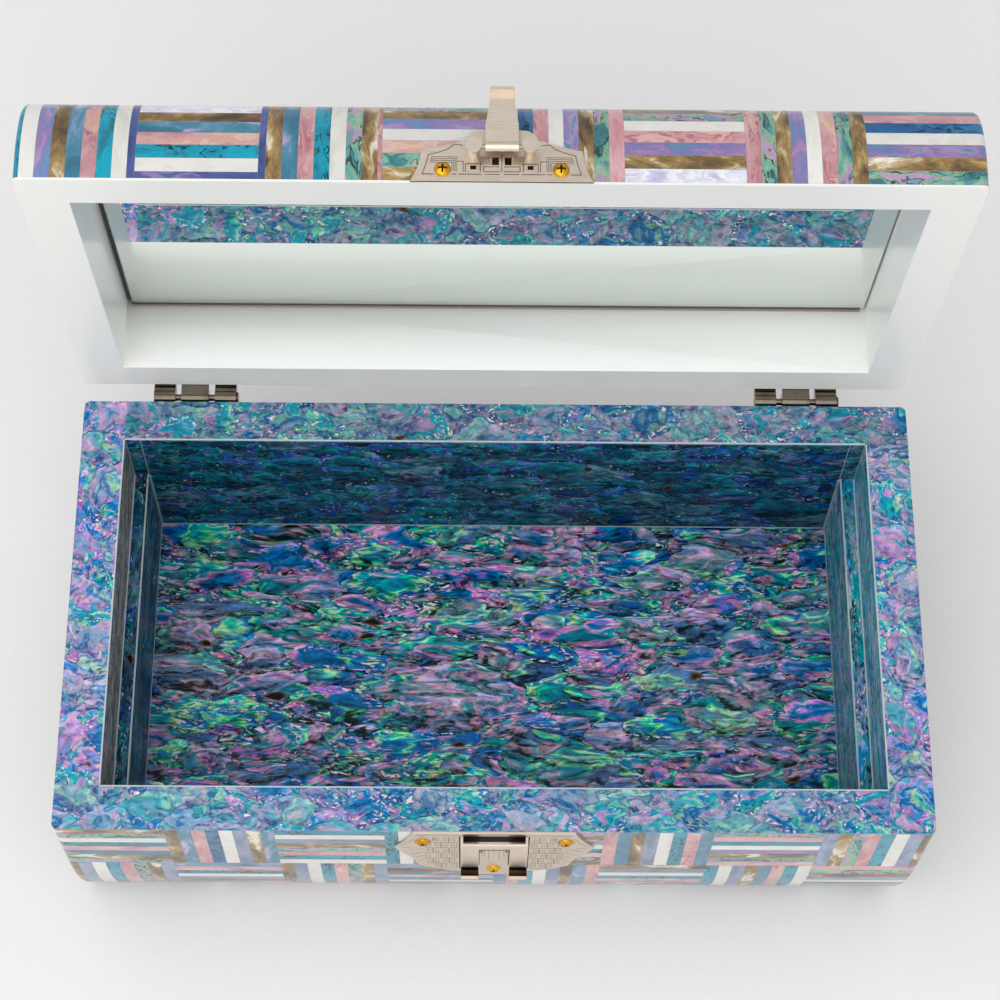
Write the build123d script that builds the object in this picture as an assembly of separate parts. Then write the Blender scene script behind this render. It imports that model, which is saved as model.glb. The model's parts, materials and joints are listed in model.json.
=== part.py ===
from build123d import *
import os
from math import cos, radians, sin

# Jewellery box covered with shell strips, lid open, latch lever flipped back.
# Millimetres. Origin: centre of the underside. +X right, +Y back, +Z up.

# Box body
box_width = 300.0
box_depth = 162.3
end_edge_radius = 2.0
shell_thickness = 1.2
side_board_thickness = 13.5
lining_thickness = 0.8
floor_depth = 73.4
bottom_board_thickness = 12.0
felt_thickness = 1.5
felt_margin = 3.0
rim_strip_thickness = 1.2

# Long sides of the body: upright below the rim, then a slow curve, then a tight one
body_face_radius = 130.0
body_face_angle = 14.0
body_edge_radius = 13.0

# Ledges along the two ends, for a tray
ledge_width = 5.4
ledge_depth = 29.0

# Lid
seam_gap = 0.3
lid_open_angle = 85.0
lid_board_thickness = 5.0
lid_frame_width = 15.5
lid_face_radius = 36.0
lid_face_angle = 25.5
lid_edge_radius = 17.0
lid_rim_flange = 0.8
mirror_depth = 25.0
mirror_thickness = 2.0
mirror_backing_thickness = 0.8
mirror_clearance = 0.4
mirror_left_gap = 2.0
card_clearance = 0.1

# Hinges
hinge_from_end = 39.85
hinge_back = 3.5
hinge_drop = 3.5
knuckle_radius = 3.0
knuckle_outer_length = 7.8
knuckle_centre_length = 10.0
knuckle_gap = 2.2
leaf_thickness = 1.0
leaf_height = 12.0
leaf_seam_clearance = 0.4
knuckle_swing_clearance = 0.4
tongue_clearance = 0.3
pin_radius = 1.25
pin_head_radius = 2.2
pin_head_thickness = 0.8
pin_fixed_clearance = 0.03
pin_running_clearance = 0.05
heel_reach = 5.4
heel_height = 2.5
heel_shoulder_reach = 4.3
heel_shoulder_drop = 1.5

# Screws
hinge_screw_spacing = 20.0
hinge_screw_drop = 6.5
hinge_screw_head_radius = 2.1
hinge_screw_head_depth = 0.9
hinge_screw_shank_radius = 1.1
hinge_screw_length = 8.0
dome_screw_head_radius = 2.6
dome_screw_head_height = 1.5
dome_screw_shank_radius = 1.2
dome_screw_length = 9.0
cross_slot_length = 3.0
cross_slot_width = 0.6
cross_slot_depth = 0.8
screw_clearance = 0.05

# Latch plate on the lid: heights above the lid's rim
plate_thickness = 1.0
latch_plate_gap = 0.2
latch_plate_half_width = 28.2
latch_shoulder_half_width = 24.8
latch_shoulder_height = 10.8
latch_side_hollow = 0.7
latch_step_half_width = 13.0
latch_step_height = 14.0
latch_step_hollow = 0.3
latch_crown_half_width = 11.4
latch_crown_foot = 14.2
latch_crown_top_half_width = 6.5
latch_crown_height = 17.8
latch_crown_bulge = 1.0
latch_slot_width = 2.1
latch_slot_height = 2.8
latch_slot_spacing = 3.9
latch_slot_centre = 7.2
latch_screw_spacing = 36.4
latch_screw_height = 4.2

# Lever, its posts and its axle
axle_height = 9.8
axle_stand_off = 5.4
axle_radius = 0.75
axle_fixed_clearance = 0.03
axle_running_clearance = 0.06
post_spacing = 17.2
post_radius = 1.7
post_disc_radius = 2.6
post_disc_thickness = 0.9
post_disc_stand_off = 7.1
lever_thickness = 1.2
lever_eye_radius = 1.5
lever_wide_half_width = 5.1
lever_wide_length = 7.5
lever_neck_half_width = 4.0
lever_neck_length = 14.0
lever_tip_half_width = 3.75
lever_length = 19.1
lever_lip = 2.6

# Catch plate on the body: drops below the rim
catch_plate_drop = 0.5
catch_plate_half_width = 27.7
catch_tip_half_width = 34.3
catch_tip_drop = 15.3
catch_tip_hollow = 0.6
catch_lower_half_width = 28.6
catch_lower_drop = 27.0
catch_lower_bulge = 0.8
catch_foot_half_width = 26.2
catch_foot_drop = 36.5
catch_heel_half_width = 12.0
catch_heel_drop = 43.5
catch_heel_bulge = 1.2
catch_tongue_half_width = 4.5
catch_plate_height = 47.4
catch_side_screw_spacing = 49.0
catch_side_screw_drop = 9.4
catch_centre_screw_drop = 39.8

# Catch bracket: a raised frame with a window that the lever's lip enters
bracket_half_width = 11.5
bracket_sheet = 0.9
bracket_stand_off = 2.5
bracket_top_drop = 3.0
bracket_bar_height = 3.6
bracket_window_half_width = 5.25
bracket_leg_drop = 27.5
curl_inner_radius = 1.7
curl_lip = 1.0

# Heights and half sizes that follow
half_width = box_width / 2
half_depth = box_depth / 2
body_height = floor_depth + lining_thickness + bottom_board_thickness + felt_thickness
lid_stack = mirror_depth + mirror_thickness + mirror_backing_thickness
lid_height = lid_stack + lid_board_thickness + shell_thickness
rim_width = shell_thickness + side_board_thickness + lining_thickness
core_half_width = half_width - shell_thickness
core_half_depth = half_depth - shell_thickness
inner_half_width = core_half_width - side_board_thickness
inner_half_depth = core_half_depth - side_board_thickness
board_top = felt_thickness + bottom_board_thickness
floor_top = board_top + lining_thickness
wall_top = body_height - rim_strip_thickness
ledge_top = body_height - ledge_depth
lid_base = body_height + seam_gap
hinge_axis_y = half_depth + hinge_back
hinge_axis_z = body_height - hinge_drop
knuckle_offset = (knuckle_centre_length + knuckle_outer_length) / 2 + knuckle_gap
hinge_length = knuckle_centre_length + 2 * (knuckle_gap + knuckle_outer_length)
lever_axis_z = lid_base + axle_height

# How far a cutter runs past what it cuts
overrun = 5.0


def slab(x, y, z):
    """Block between two limits on each axis."""
    size = [high - low for low, high in (x, y, z)]
    middle = [(high + low) / 2 for low, high in (x, y, z)]
    return Pos(*middle) * Box(*size)


def rod(radius, x):
    """Round bar along X between two limits."""
    return Pos((x[0] + x[1]) / 2, 0, 0) * Rot(0, 90, 0) * Cylinder(radius, x[1] - x[0])


def mirrored_x(shape):
    return mirror(shape, Plane.YZ)


def edge_start(face_radius, edge_radius, face_angle):
    """Half depth where the flat top or bottom begins."""
    return half_depth - face_radius + (face_radius - edge_radius) * cos(radians(face_angle))


def curved_block(height, face_radius, face_angle, edge_radius, inset, width):
    """Solid along X with its open side at z = 0 and both long sides curving in to z = height."""
    rise = (face_radius - edge_radius) * sin(radians(face_angle))
    upright = height - edge_radius - rise
    turn = edge_start(face_radius, edge_radius, face_angle)
    side = half_depth - inset
    top = height - inset
    edges = [Line((-side, 0), (side, 0)), Line((-turn, top), (turn, top))]
    for sign in (1, -1):
        face_start = 0 if sign == 1 else 180
        edge_angle = face_angle if sign == 1 else 180 - face_angle
        face_centre = (sign * (half_depth - face_radius), upright)
        edge_centre = (sign * turn, upright + rise)
        edges.append(Line((sign * side, 0), (sign * side, upright)))
        edges.append(CenterArc(face_centre, face_radius - inset, face_start, sign * face_angle))
        edges.append(CenterArc(edge_centre, edge_radius - inset, edge_angle, sign * (90 - face_angle)))
    return extrude(Plane.YZ * make_face(edges), amount=width / 2, both=True)


def with_round_ends(block):
    """The block with the edges of both ends rounded, except along its open side."""
    end_edges = block.edges().filter_by(Axis.X, reverse=True)
    return fillet(end_edges.filter_by(lambda edge: edge.center().Z > 0), end_edge_radius)


def body_block(inset, width):
    """The body's form drawn in by inset, or its whole outer form with round ends, open side up."""
    height = body_height - felt_thickness
    block = curved_block(height, body_face_radius, body_face_angle, body_edge_radius, inset, width)
    if inset == 0:
        block = with_round_ends(block)
    return Pos(0, 0, body_height) * Rot(180, 0, 0) * block


def lid_block(inset, width):
    """The lid's form above z = 0 drawn in by inset, or its whole outer form with round ends."""
    block = curved_block(lid_height, lid_face_radius, lid_face_angle, lid_edge_radius, inset, width)
    return with_round_ends(block) if inset == 0 else block


def layer(low, high):
    """A slab wider and deeper than the box, between two heights."""
    x = (-half_width - overrun, half_width + overrun)
    y = (-half_depth - overrun, half_depth + overrun)
    return slab(x, y, (low, high))


def make_body_inlays():
    """Shell strips on the four sides of the body."""
    outer = body_block(0, box_width) & layer(felt_thickness, wall_top)
    core = body_block(shell_thickness, box_width + overrun)
    flat = edge_start(body_face_radius, body_edge_radius, body_face_angle)
    whole_x = (-half_width, half_width)
    back = (outer - core) & slab(whole_x, (flat, half_depth), (0, body_height))
    front = mirror(back, Plane.XZ)
    end_zone = slab((core_half_width, half_width), (-half_depth, half_depth), (0, body_height))
    right = (outer & end_zone) - front - back
    left = (outer & mirrored_x(end_zone)) - front - back
    return {
        "base_front_inlay": front,
        "base_back_inlay": back,
        "base_left_inlay": left,
        "base_right_inlay": right,
    }


def make_body_boards(inlays):
    """Four walls standing on the bottom board, inside the shell strips."""
    core = body_block(shell_thickness, 2 * core_half_width)
    whole_x = (-core_half_width, core_half_width)
    front_zone = slab(whole_x, (-half_depth, -inner_half_depth), (board_top, wall_top))
    end_zone = slab(
        (inner_half_width, core_half_width), (-inner_half_depth, inner_half_depth), (board_top, wall_top)
    )
    bottom = body_block(0, box_width) & slab(
        whole_x, (-half_depth, half_depth), (felt_thickness, board_top)
    )
    for inlay in inlays.values():
        bottom -= inlay
    return {
        "base_front_wall": core & front_zone,
        "base_back_wall": core & mirror(front_zone, Plane.XZ),
        "base_left_wall": mirrored_x(end_zone),
        "base_right_wall": end_zone,
        "base_bottom_board": bottom,
    }


def make_rim_strips():
    """Four strips on the rim, each running past the end of the next."""
    z = (wall_top, body_height)
    inner_x = half_width - rim_width
    inner_y = half_depth - rim_width
    strips = {
        "rim_strip_front": slab((-half_width, inner_x), (-half_depth, -inner_y), z),
        "rim_strip_right": slab((inner_x, half_width), (-half_depth, inner_y), z),
        "rim_strip_back": slab((-inner_x, half_width), (inner_y, half_depth), z),
        "rim_strip_left": slab((-half_width, -inner_x), (-inner_y, half_depth), z),
    }
    rim = body_block(0, box_width) & layer(*z)
    return {name: strip & rim for name, strip in strips.items()}


def make_linings():
    """Shell sheets inside the body and the two ledges along its ends."""
    across = (-inner_half_width, inner_half_width)
    lined_y = inner_half_depth - lining_thickness
    lined_x = inner_half_width - lining_thickness
    along = (-lined_y, lined_y)
    front = slab(across, (-inner_half_depth, -lined_y), (floor_top, wall_top))
    end = slab((lined_x, inner_half_width), along, (ledge_top, wall_top))
    ledge = slab((lined_x - ledge_width, inner_half_width), along, (floor_top, ledge_top))
    floor = slab(across, (-inner_half_depth, inner_half_depth), (board_top, floor_top))
    return {
        "floor_lining": floor,
        "front_lining": front,
        "back_lining": mirror(front, Plane.XZ),
        "left_upper_lining": mirrored_x(end),
        "right_upper_lining": end,
        "left_tray_ledge": mirrored_x(ledge),
        "right_tray_ledge": ledge,
    }


def make_felt():
    flat = edge_start(body_face_radius, body_edge_radius, body_face_angle)
    half_x = half_width - felt_margin
    half_y = flat - felt_margin
    return {"underside_felt": slab((-half_x, half_x), (-half_y, half_y), (0, felt_thickness))}


def make_lid_frame():
    """Four rails with a thin flange under the shell strips, and the board over them."""
    core = lid_block(shell_thickness, 2 * core_half_width)
    flange = lid_block(0, box_width) & layer(0, lid_rim_flange)
    ring = (core & slab((-half_width, half_width), (-half_depth, half_depth), (0, lid_stack))) + flange
    inner_x = half_width - lid_frame_width
    inner_y = half_depth - lid_frame_width
    z = (0, lid_stack)
    front = slab((-half_width, half_width), (-half_depth, -inner_y), z)
    end = slab((inner_x, half_width), (-inner_y, inner_y), z)
    board_zone = slab((-half_width, half_width), (-half_depth, half_depth), (lid_stack, lid_height))
    return {
        "lid_front_rail": ring & front,
        "lid_back_rail": ring & mirror(front, Plane.XZ),
        "lid_left_rail": ring & mirrored_x(end),
        "lid_right_rail": ring & end,
        "lid_top_board": core & board_zone,
    }


def make_lid_inlays():
    """Shell strips on the lid's four sides and top."""
    outer = lid_block(0, box_width) & layer(lid_rim_flange, lid_height + overrun)
    skin = outer - lid_block(shell_thickness, box_width + overrun)
    flat = edge_start(lid_face_radius, lid_edge_radius, lid_face_angle)
    z = (lid_rim_flange, lid_height)
    back_zone = slab((-half_width, half_width), (flat, half_depth), z)
    top_zone = slab((-half_width, half_width), (-flat, flat), z)
    back = skin & back_zone
    front = mirror(back, Plane.XZ)
    top = skin & top_zone
    end_zone = slab((core_half_width, half_width), (-half_depth, half_depth), z)
    right = (outer & end_zone) - front - back - top
    return {
        "lid_front_inlay": front,
        "lid_back_inlay": back,
        "lid_top_inlay": top,
        "lid_left_inlay": mirrored_x(right),
        "lid_right_inlay": right,
    }


def make_mirror():
    """Mirror glass and its backing card at the bottom of the lid's recess."""
    half_x = half_width - lid_frame_width
    half_y = half_depth - lid_frame_width
    glass_x = (-half_x + mirror_left_gap, half_x - mirror_clearance)
    glass_y = (-half_y + mirror_clearance, half_y - mirror_clearance)
    card_x = (-half_x + card_clearance, half_x - card_clearance)
    card_y = (-half_y + card_clearance, half_y - card_clearance)
    glass_top = mirror_depth + mirror_thickness
    return {
        "mirror_glass": slab(glass_x, glass_y, (mirror_depth, glass_top)),
        "mirror_backing": slab(card_x, card_y, (glass_top, lid_stack)),
    }


def hinge_knuckle(x, bore_radius):
    return rod(knuckle_radius, x) - rod(bore_radius, x)


def make_base_leaf():
    """Leaf on the body: two outer knuckles with a heel that stops the lid. Origin on the hinge axis."""
    outer = (knuckle_offset - knuckle_outer_length / 2, knuckle_offset + knuckle_outer_length / 2)
    leaf_y = (-hinge_back, -hinge_back + leaf_thickness)
    plate_top = -knuckle_radius - knuckle_swing_clearance
    leaf = slab((-hinge_length / 2, hinge_length / 2), leaf_y, (plate_top - leaf_height, plate_top))
    heel_outline = Polyline(
        (0, -knuckle_radius), (heel_shoulder_reach, -heel_shoulder_drop), (heel_reach, 0),
        (heel_reach, heel_height), (0, heel_height), close=True,
    )
    heel = Pos(outer[0], 0, 0) * extrude(Plane.YZ * make_face(heel_outline), amount=knuckle_outer_length)
    arm = slab(outer, leaf_y, (plate_top, 0))
    side = rod(knuckle_radius, outer) + heel + arm
    bore = rod(pin_radius + pin_fixed_clearance, (-hinge_length, hinge_length))
    return leaf + side + mirrored_x(side) - bore


def make_lid_leaf():
    """Leaf on the lid: one centre knuckle on a tongue. Origin on the hinge axis, lid closed."""
    centre = (-knuckle_centre_length / 2, knuckle_centre_length / 2)
    bottom = hinge_drop + seam_gap + leaf_seam_clearance
    leaf_y = (-hinge_back, -hinge_back + leaf_thickness)
    leaf = slab((-hinge_length / 2, hinge_length / 2), leaf_y, (bottom, bottom + leaf_height))
    tongue_y = (-hinge_back + tongue_clearance, -hinge_back + leaf_thickness)
    tongue = slab(centre, tongue_y, (0, bottom))
    barrel = rod(knuckle_radius, centre) + tongue
    return leaf + (barrel - rod(pin_radius + pin_running_clearance, centre))


def make_hinge_pin():
    body = rod(pin_radius, (-hinge_length / 2, hinge_length / 2))
    head = rod(pin_head_radius, (hinge_length / 2, hinge_length / 2 + pin_head_thickness))
    return body + head


def flat_screw(grow):
    """Countersunk screw along -Y with its head face at y = 0, or its hole when grow is set."""
    head_radius = hinge_screw_head_radius + grow
    shank_radius = hinge_screw_shank_radius + grow
    length = hinge_screw_length + grow
    outline = Polyline(
        (0, 0), (head_radius, 0), (shank_radius, -hinge_screw_head_depth), (shank_radius, -length),
        (0, -length), close=True,
    )
    screw = revolve(make_face(outline), Axis.Y)
    if grow:
        return screw
    return screw - cross_slot()


def cross_slot():
    """Cross recess sunk from y = 0 towards -Y."""
    bar = slab(
        (-cross_slot_length / 2, cross_slot_length / 2),
        (-cross_slot_depth, overrun),
        (-cross_slot_width / 2, cross_slot_width / 2),
    )
    return bar + Rot(0, 90, 0) * bar


def dome_screw():
    """Domed screw along -Y with its head's underside at y = 0."""
    sphere_radius = (dome_screw_head_radius**2 + dome_screw_head_height**2) / (2 * dome_screw_head_height)
    ball = Pos(0, dome_screw_head_height - sphere_radius, 0) * Sphere(sphere_radius)
    size = 2 * sphere_radius
    head = ball & slab((-size, size), (0, size), (-size, size))
    shank = Rot(90, 0, 0) * Cylinder(
        dome_screw_shank_radius, dome_screw_length, align=(Align.CENTER, Align.CENTER, Align.MIN)
    )
    return head + shank - Pos(0, dome_screw_head_height, 0) * cross_slot()


def dome_hole():
    length = dome_screw_length + screw_clearance + overrun
    hole = Rot(90, 0, 0) * Cylinder(dome_screw_shank_radius + screw_clearance, length)
    return Pos(0, overrun / 2 - (dome_screw_length + screw_clearance) / 2, 0) * hole


def turned_to_front(shape):
    """A part made facing +Y, turned to face -Y."""
    return Rot(0, 0, 180) * shape


def hinge_places():
    return [-half_width + hinge_from_end, half_width - hinge_from_end]


def hinge_screw_places(height):
    """Screw places on the back of the box at one height, two for each hinge."""
    y = half_depth + leaf_thickness
    return [
        Pos(x + side * hinge_screw_spacing / 2, y, height) for x in hinge_places() for side in (-1, 1)
    ]


def dome_screw_places(points):
    y = -half_depth - plate_thickness
    return [Pos(x, y, z) for x, z in points]


def plate_from_outline(edges):
    """Plate on the front of the box, from one half of its outline in x and z."""
    other_half = [mirror(edge, Plane.YZ) for edge in edges]
    face = make_face(edges + other_half)
    return Pos(0, -half_depth, 0) * extrude(Plane.XZ * face, amount=plate_thickness)


def bowed(start, end, bow):
    """Arc between two points; a positive bow lies to the left of the way from start to end."""
    a, b = Vector(*start), Vector(*end)
    along = (b - a).normalized()
    middle = (a + b) * 0.5 + Vector(-along.Y, along.X) * bow
    return ThreePointArc(a, middle, b)


def make_latch_plate():
    """Lid plate with its crown, two small slots and its screw holes, in lid heights."""
    bottom = latch_plate_gap
    corner = (latch_plate_half_width, bottom)
    shoulder = (latch_shoulder_half_width, latch_shoulder_height)
    step = (latch_step_half_width, latch_step_height)
    crown_foot = (latch_crown_half_width, latch_crown_foot)
    crown_top = (latch_crown_top_half_width, latch_crown_height)
    plate = plate_from_outline(
        [
            Line((0, bottom), corner),
            bowed(corner, shoulder, latch_side_hollow),
            bowed(shoulder, step, latch_step_hollow),
            Line(step, crown_foot),
            bowed(crown_foot, crown_top, -latch_crown_bulge),
            Line(crown_top, (0, latch_crown_height)),
        ]
    )
    for side in (-1, 1):
        centre_x = side * latch_slot_spacing / 2
        plate -= slab(
            (centre_x - latch_slot_width / 2, centre_x + latch_slot_width / 2),
            (-half_depth - overrun, -half_depth),
            (latch_slot_centre - latch_slot_height / 2, latch_slot_centre + latch_slot_height / 2),
        )
    return plate


def make_catch_plate():
    """Body plate below the rim, pointed at both sides, in body heights."""
    top = body_height - catch_plate_drop
    corner = (catch_plate_half_width, top)
    tip = (catch_tip_half_width, body_height - catch_tip_drop)
    lower = (catch_lower_half_width, body_height - catch_lower_drop)
    foot = (catch_foot_half_width, body_height - catch_foot_drop)
    heel = (catch_heel_half_width, body_height - catch_heel_drop)
    bottom = body_height - catch_plate_height
    tongue = (catch_tongue_half_width, bottom)
    return plate_from_outline(
        [
            Line((0, top), corner),
            bowed(corner, tip, -catch_tip_hollow),
            bowed(tip, lower, catch_lower_bulge),
            Line(lower, foot),
            bowed(foot, heel, catch_heel_bulge),
            Line(heel, tongue),
            Line(tongue, (0, bottom)),
        ]
    )


def make_catch_bracket():
    """Raised frame on the catch plate: bar, two legs and an outward curl under each leg."""
    top = body_height - bracket_top_drop
    foot = body_height - bracket_leg_drop
    back_y = -half_depth - plate_thickness
    sheet_back = back_y - bracket_stand_off
    sheet_front = sheet_back - bracket_sheet
    whole = (-bracket_half_width, bracket_half_width)
    front = slab(whole, (sheet_front, sheet_back), (foot, top))
    window = slab(
        (-bracket_window_half_width, bracket_window_half_width),
        (sheet_front - overrun, back_y),
        (foot - overrun, top - bracket_bar_height),
    )
    flange = slab(
        (bracket_half_width - bracket_sheet, bracket_half_width), (sheet_back, back_y), (foot, top)
    )
    curl_y = sheet_front - curl_inner_radius
    leg = (bracket_window_half_width, bracket_half_width)
    ring = rod(curl_inner_radius + bracket_sheet, leg) - rod(curl_inner_radius, leg)
    reach = 2 * (curl_inner_radius + bracket_sheet)
    curl = Pos(0, curl_y, foot) * (ring & slab(leg, (-reach, reach), (-reach, 0)))
    lip_y = curl_y - curl_inner_radius
    lip = slab(leg, (lip_y - bracket_sheet, lip_y), (foot, foot + curl_lip))
    side = flange + curl + lip
    return (front - window) + side + mirrored_x(side)


def make_posts():
    """Two posts with disc heads that carry the lever's axle, in lid heights."""
    foot_y = -half_depth - plate_thickness
    top_y = -half_depth - post_disc_stand_off
    stem_length = post_disc_stand_off - plate_thickness - post_disc_thickness
    stem = Pos(0, foot_y - stem_length / 2, 0) * Rot(90, 0, 0) * Cylinder(post_radius, stem_length)
    disc = Pos(0, top_y + post_disc_thickness / 2, 0) * Rot(90, 0, 0) * Cylinder(
        post_disc_radius, post_disc_thickness
    )
    post = Pos(post_spacing / 2, 0, axle_height) * (stem + disc)
    posts = [post, mirrored_x(post)]
    bore = Pos(0, -half_depth - axle_stand_off, axle_height) * rod(
        axle_radius + axle_fixed_clearance, (-post_spacing / 2, post_spacing / 2)
    )
    return [item - bore for item in posts]


def make_axle():
    return Pos(0, -half_depth - axle_stand_off, axle_height) * rod(
        axle_radius, (-post_spacing / 2 + screw_clearance, post_spacing / 2 - screw_clearance)
    )


def make_lever():
    """Lever flipped back, pointing to the lid's top, its lip turned out. Origin on its axle."""
    points = [
        (lever_wide_half_width, 0),
        (lever_wide_half_width, lever_wide_length),
        (lever_neck_half_width, lever_neck_length),
        (lever_tip_half_width, lever_length),
    ]
    outline = Polyline(*points, *[(-x, z) for x, z in reversed(points)], close=True)
    blade = extrude(Plane.XZ * make_face(outline), amount=lever_thickness / 2, both=True)
    lip = slab(
        (-lever_tip_half_width, lever_tip_half_width),
        (-lever_thickness / 2 - lever_lip, 0),
        (lever_length - lever_thickness, lever_length),
    )
    width = (-lever_wide_half_width, lever_wide_half_width)
    return blade + lip + rod(lever_eye_radius, width) - rod(axle_radius + axle_running_clearance, width)


def lid_closed(shape):
    """A shape in lid heights, moved to where the closed lid sits."""
    return Pos(0, 0, lid_base) * shape


def lid_open(shape):
    """A shape in its closed place, swung to the open rest position."""
    axis = Axis((0, hinge_axis_y, hinge_axis_z), (1, 0, 0))
    return shape.rotate(axis, -lid_open_angle)


def cut_all(parts, names, holes):
    """Cut every hole from every named part."""
    for name in names:
        for hole in holes:
            parts[name] = parts[name] - hole


def build_base():
    """All parts of the body, in place."""
    inlays = make_body_inlays()
    parts = {**inlays, **make_body_boards(inlays), **make_rim_strips(), **make_linings(), **make_felt()}
    parts["catch_plate"] = make_catch_plate()
    parts["catch_bracket"] = make_catch_bracket()
    side_x = catch_side_screw_spacing / 2
    side_z = body_height - catch_side_screw_drop
    points = [(-side_x, side_z), (side_x, side_z), (0, body_height - catch_centre_screw_drop)]
    places = dome_screw_places(points)
    parts["catch_screws"] = [place * turned_to_front(dome_screw()) for place in places]
    holes = [place * turned_to_front(dome_hole()) for place in places]
    cut_all(parts, ["catch_plate", "base_front_inlay", "base_front_wall"], holes)
    for side, x in zip(("left", "right"), hinge_places()):
        place = Pos(x, hinge_axis_y, hinge_axis_z)
        parts[f"base_hinge_leaf_{side}"] = place * make_base_leaf()
        parts[f"hinge_pin_{side}"] = place * make_hinge_pin()
    plate_top = hinge_axis_z - knuckle_radius - knuckle_swing_clearance
    places = hinge_screw_places(plate_top - hinge_screw_drop)
    parts["base_hinge_screws"] = [place * flat_screw(0) for place in places]
    holes = [place * flat_screw(screw_clearance) for place in places]
    leaves = ["base_hinge_leaf_left", "base_hinge_leaf_right"]
    cut_all(parts, leaves + ["base_back_inlay", "base_back_wall"], holes)
    return parts


def build_lid():
    """All parts of the lid, where the closed lid sits."""
    lid_parts = {**make_lid_frame(), **make_lid_inlays(), **make_mirror()}
    lid_parts["latch_plate"] = make_latch_plate()
    lid_parts["latch_posts"] = make_posts()
    lid_parts["latch_axle"] = make_axle()
    side_x = latch_screw_spacing / 2
    places = dome_screw_places([(-side_x, latch_screw_height), (side_x, latch_screw_height)])
    lid_parts["latch_screws"] = [place * turned_to_front(dome_screw()) for place in places]
    holes = [place * turned_to_front(dome_hole()) for place in places]
    cut_all(lid_parts, ["latch_plate", "lid_front_inlay", "lid_front_rail"], holes)
    parts = {}
    for name, shape in lid_parts.items():
        parts[name] = [lid_closed(s) for s in shape] if isinstance(shape, list) else lid_closed(shape)
    for side, x in zip(("left", "right"), hinge_places()):
        parts[f"lid_hinge_leaf_{side}"] = Pos(x, hinge_axis_y, hinge_axis_z) * make_lid_leaf()
    places = hinge_screw_places(lid_base + leaf_seam_clearance + hinge_screw_drop)
    parts["lid_hinge_screws"] = [place * flat_screw(0) for place in places]
    holes = [place * flat_screw(screw_clearance) for place in places]
    leaves = ["lid_hinge_leaf_left", "lid_hinge_leaf_right"]
    cut_all(parts, leaves + ["lid_back_inlay", "lid_back_rail"], holes)
    parts["latch_lever"] = Pos(0, -half_depth - axle_stand_off, lever_axis_z) * make_lever()
    return parts


def save(name, shape):
    solids = shape if isinstance(shape, list) else [shape]
    whole = Compound(children=[solid for item in solids for solid in item.solids()])
    export_step(whole, f"parts/{name}.step")
    print(f"{name}: {len(whole.solids())} solid(s), {whole.volume:.0f} mm3")


def main():
    os.makedirs("parts", exist_ok=True)
    for name, shape in build_base().items():
        save(name, shape)
    for name, shape in build_lid().items():
        opened = [lid_open(item) for item in shape] if isinstance(shape, list) else lid_open(shape)
        save(name, opened)
    lever_axis = Vector(0, -half_depth - axle_stand_off, lever_axis_z)
    marker = lid_open(Pos(lever_axis) * Sphere(1)).center()
    print(f"hinge axis y {hinge_axis_y:.3f} z {hinge_axis_z:.3f}")
    print(f"lever axis at rest y {marker.Y:.3f} z {marker.Z:.3f}")
    print(f"body height {body_height:.2f}, lid height {lid_height:.2f}")


main()
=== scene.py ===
"""Shell-covered jewellery box with its lid open: looks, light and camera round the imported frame."""

import json
import logging
import math
import random
from dataclasses import dataclass, replace
from enum import Enum
from functools import partial
from typing import Callable, ClassVar, Iterable, Optional, Sequence, Union

import bmesh
import bpy
from mathutils import Matrix, Vector

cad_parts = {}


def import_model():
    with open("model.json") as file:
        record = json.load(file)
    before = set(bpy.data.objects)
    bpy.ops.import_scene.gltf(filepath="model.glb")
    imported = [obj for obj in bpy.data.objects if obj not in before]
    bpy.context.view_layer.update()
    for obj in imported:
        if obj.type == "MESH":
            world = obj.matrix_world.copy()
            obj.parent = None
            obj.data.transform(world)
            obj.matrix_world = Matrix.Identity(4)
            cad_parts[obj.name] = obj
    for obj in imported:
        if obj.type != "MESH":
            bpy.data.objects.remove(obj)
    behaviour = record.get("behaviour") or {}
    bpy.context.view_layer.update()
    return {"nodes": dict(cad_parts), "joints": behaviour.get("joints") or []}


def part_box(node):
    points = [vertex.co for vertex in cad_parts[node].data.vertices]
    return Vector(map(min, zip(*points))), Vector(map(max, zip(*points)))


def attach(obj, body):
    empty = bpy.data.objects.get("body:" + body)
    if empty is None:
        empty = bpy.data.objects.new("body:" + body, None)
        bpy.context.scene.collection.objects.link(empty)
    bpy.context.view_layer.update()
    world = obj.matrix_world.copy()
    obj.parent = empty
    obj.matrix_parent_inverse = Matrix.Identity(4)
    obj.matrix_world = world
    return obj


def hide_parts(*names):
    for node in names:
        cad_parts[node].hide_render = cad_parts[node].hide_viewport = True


LOG = logging.getLogger("jewellery_box")
MM = 0.001
PIXELS = 1000

Stops = tuple[tuple[float, str], ...]
Point = tuple[float, float]
Socket = bpy.types.NodeSocket
Inputs = Union[Sequence[object], dict[Union[int, str], object]]
AddNode = Callable[..., Socket]
Nodes = dict[str, bpy.types.Object]


def linear(code: str) -> tuple[float, float, float, float]:
    """Turns an sRGB hex colour to Blender's linear colour.

    Args:
        code: Colour such as "#C2B5A4".

    Returns:
        Linear red, green, blue and an alpha of 1.
    """
    parts = [int(code[i : i + 2], 16) / 255 for i in (1, 3, 5)]
    red, green, blue = (c / 12.92 if c <= 0.04045 else ((c + 0.055) / 1.055) ** 2.4 for c in parts)
    return (red, green, blue, 1.0)


def fill(node: bpy.types.Node, inputs: Inputs) -> None:
    """Sets a node's inputs.

    Args:
        node: The node.
        inputs: Values, or the outputs that feed them: of the first inputs in order, or by input.
    """
    for place, value in inputs.items() if isinstance(inputs, dict) else enumerate(inputs):
        if isinstance(value, Socket):
            node.id_data.links.new(value, node.inputs[place])
        else:
            node.inputs[place].default_value = value


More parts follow.
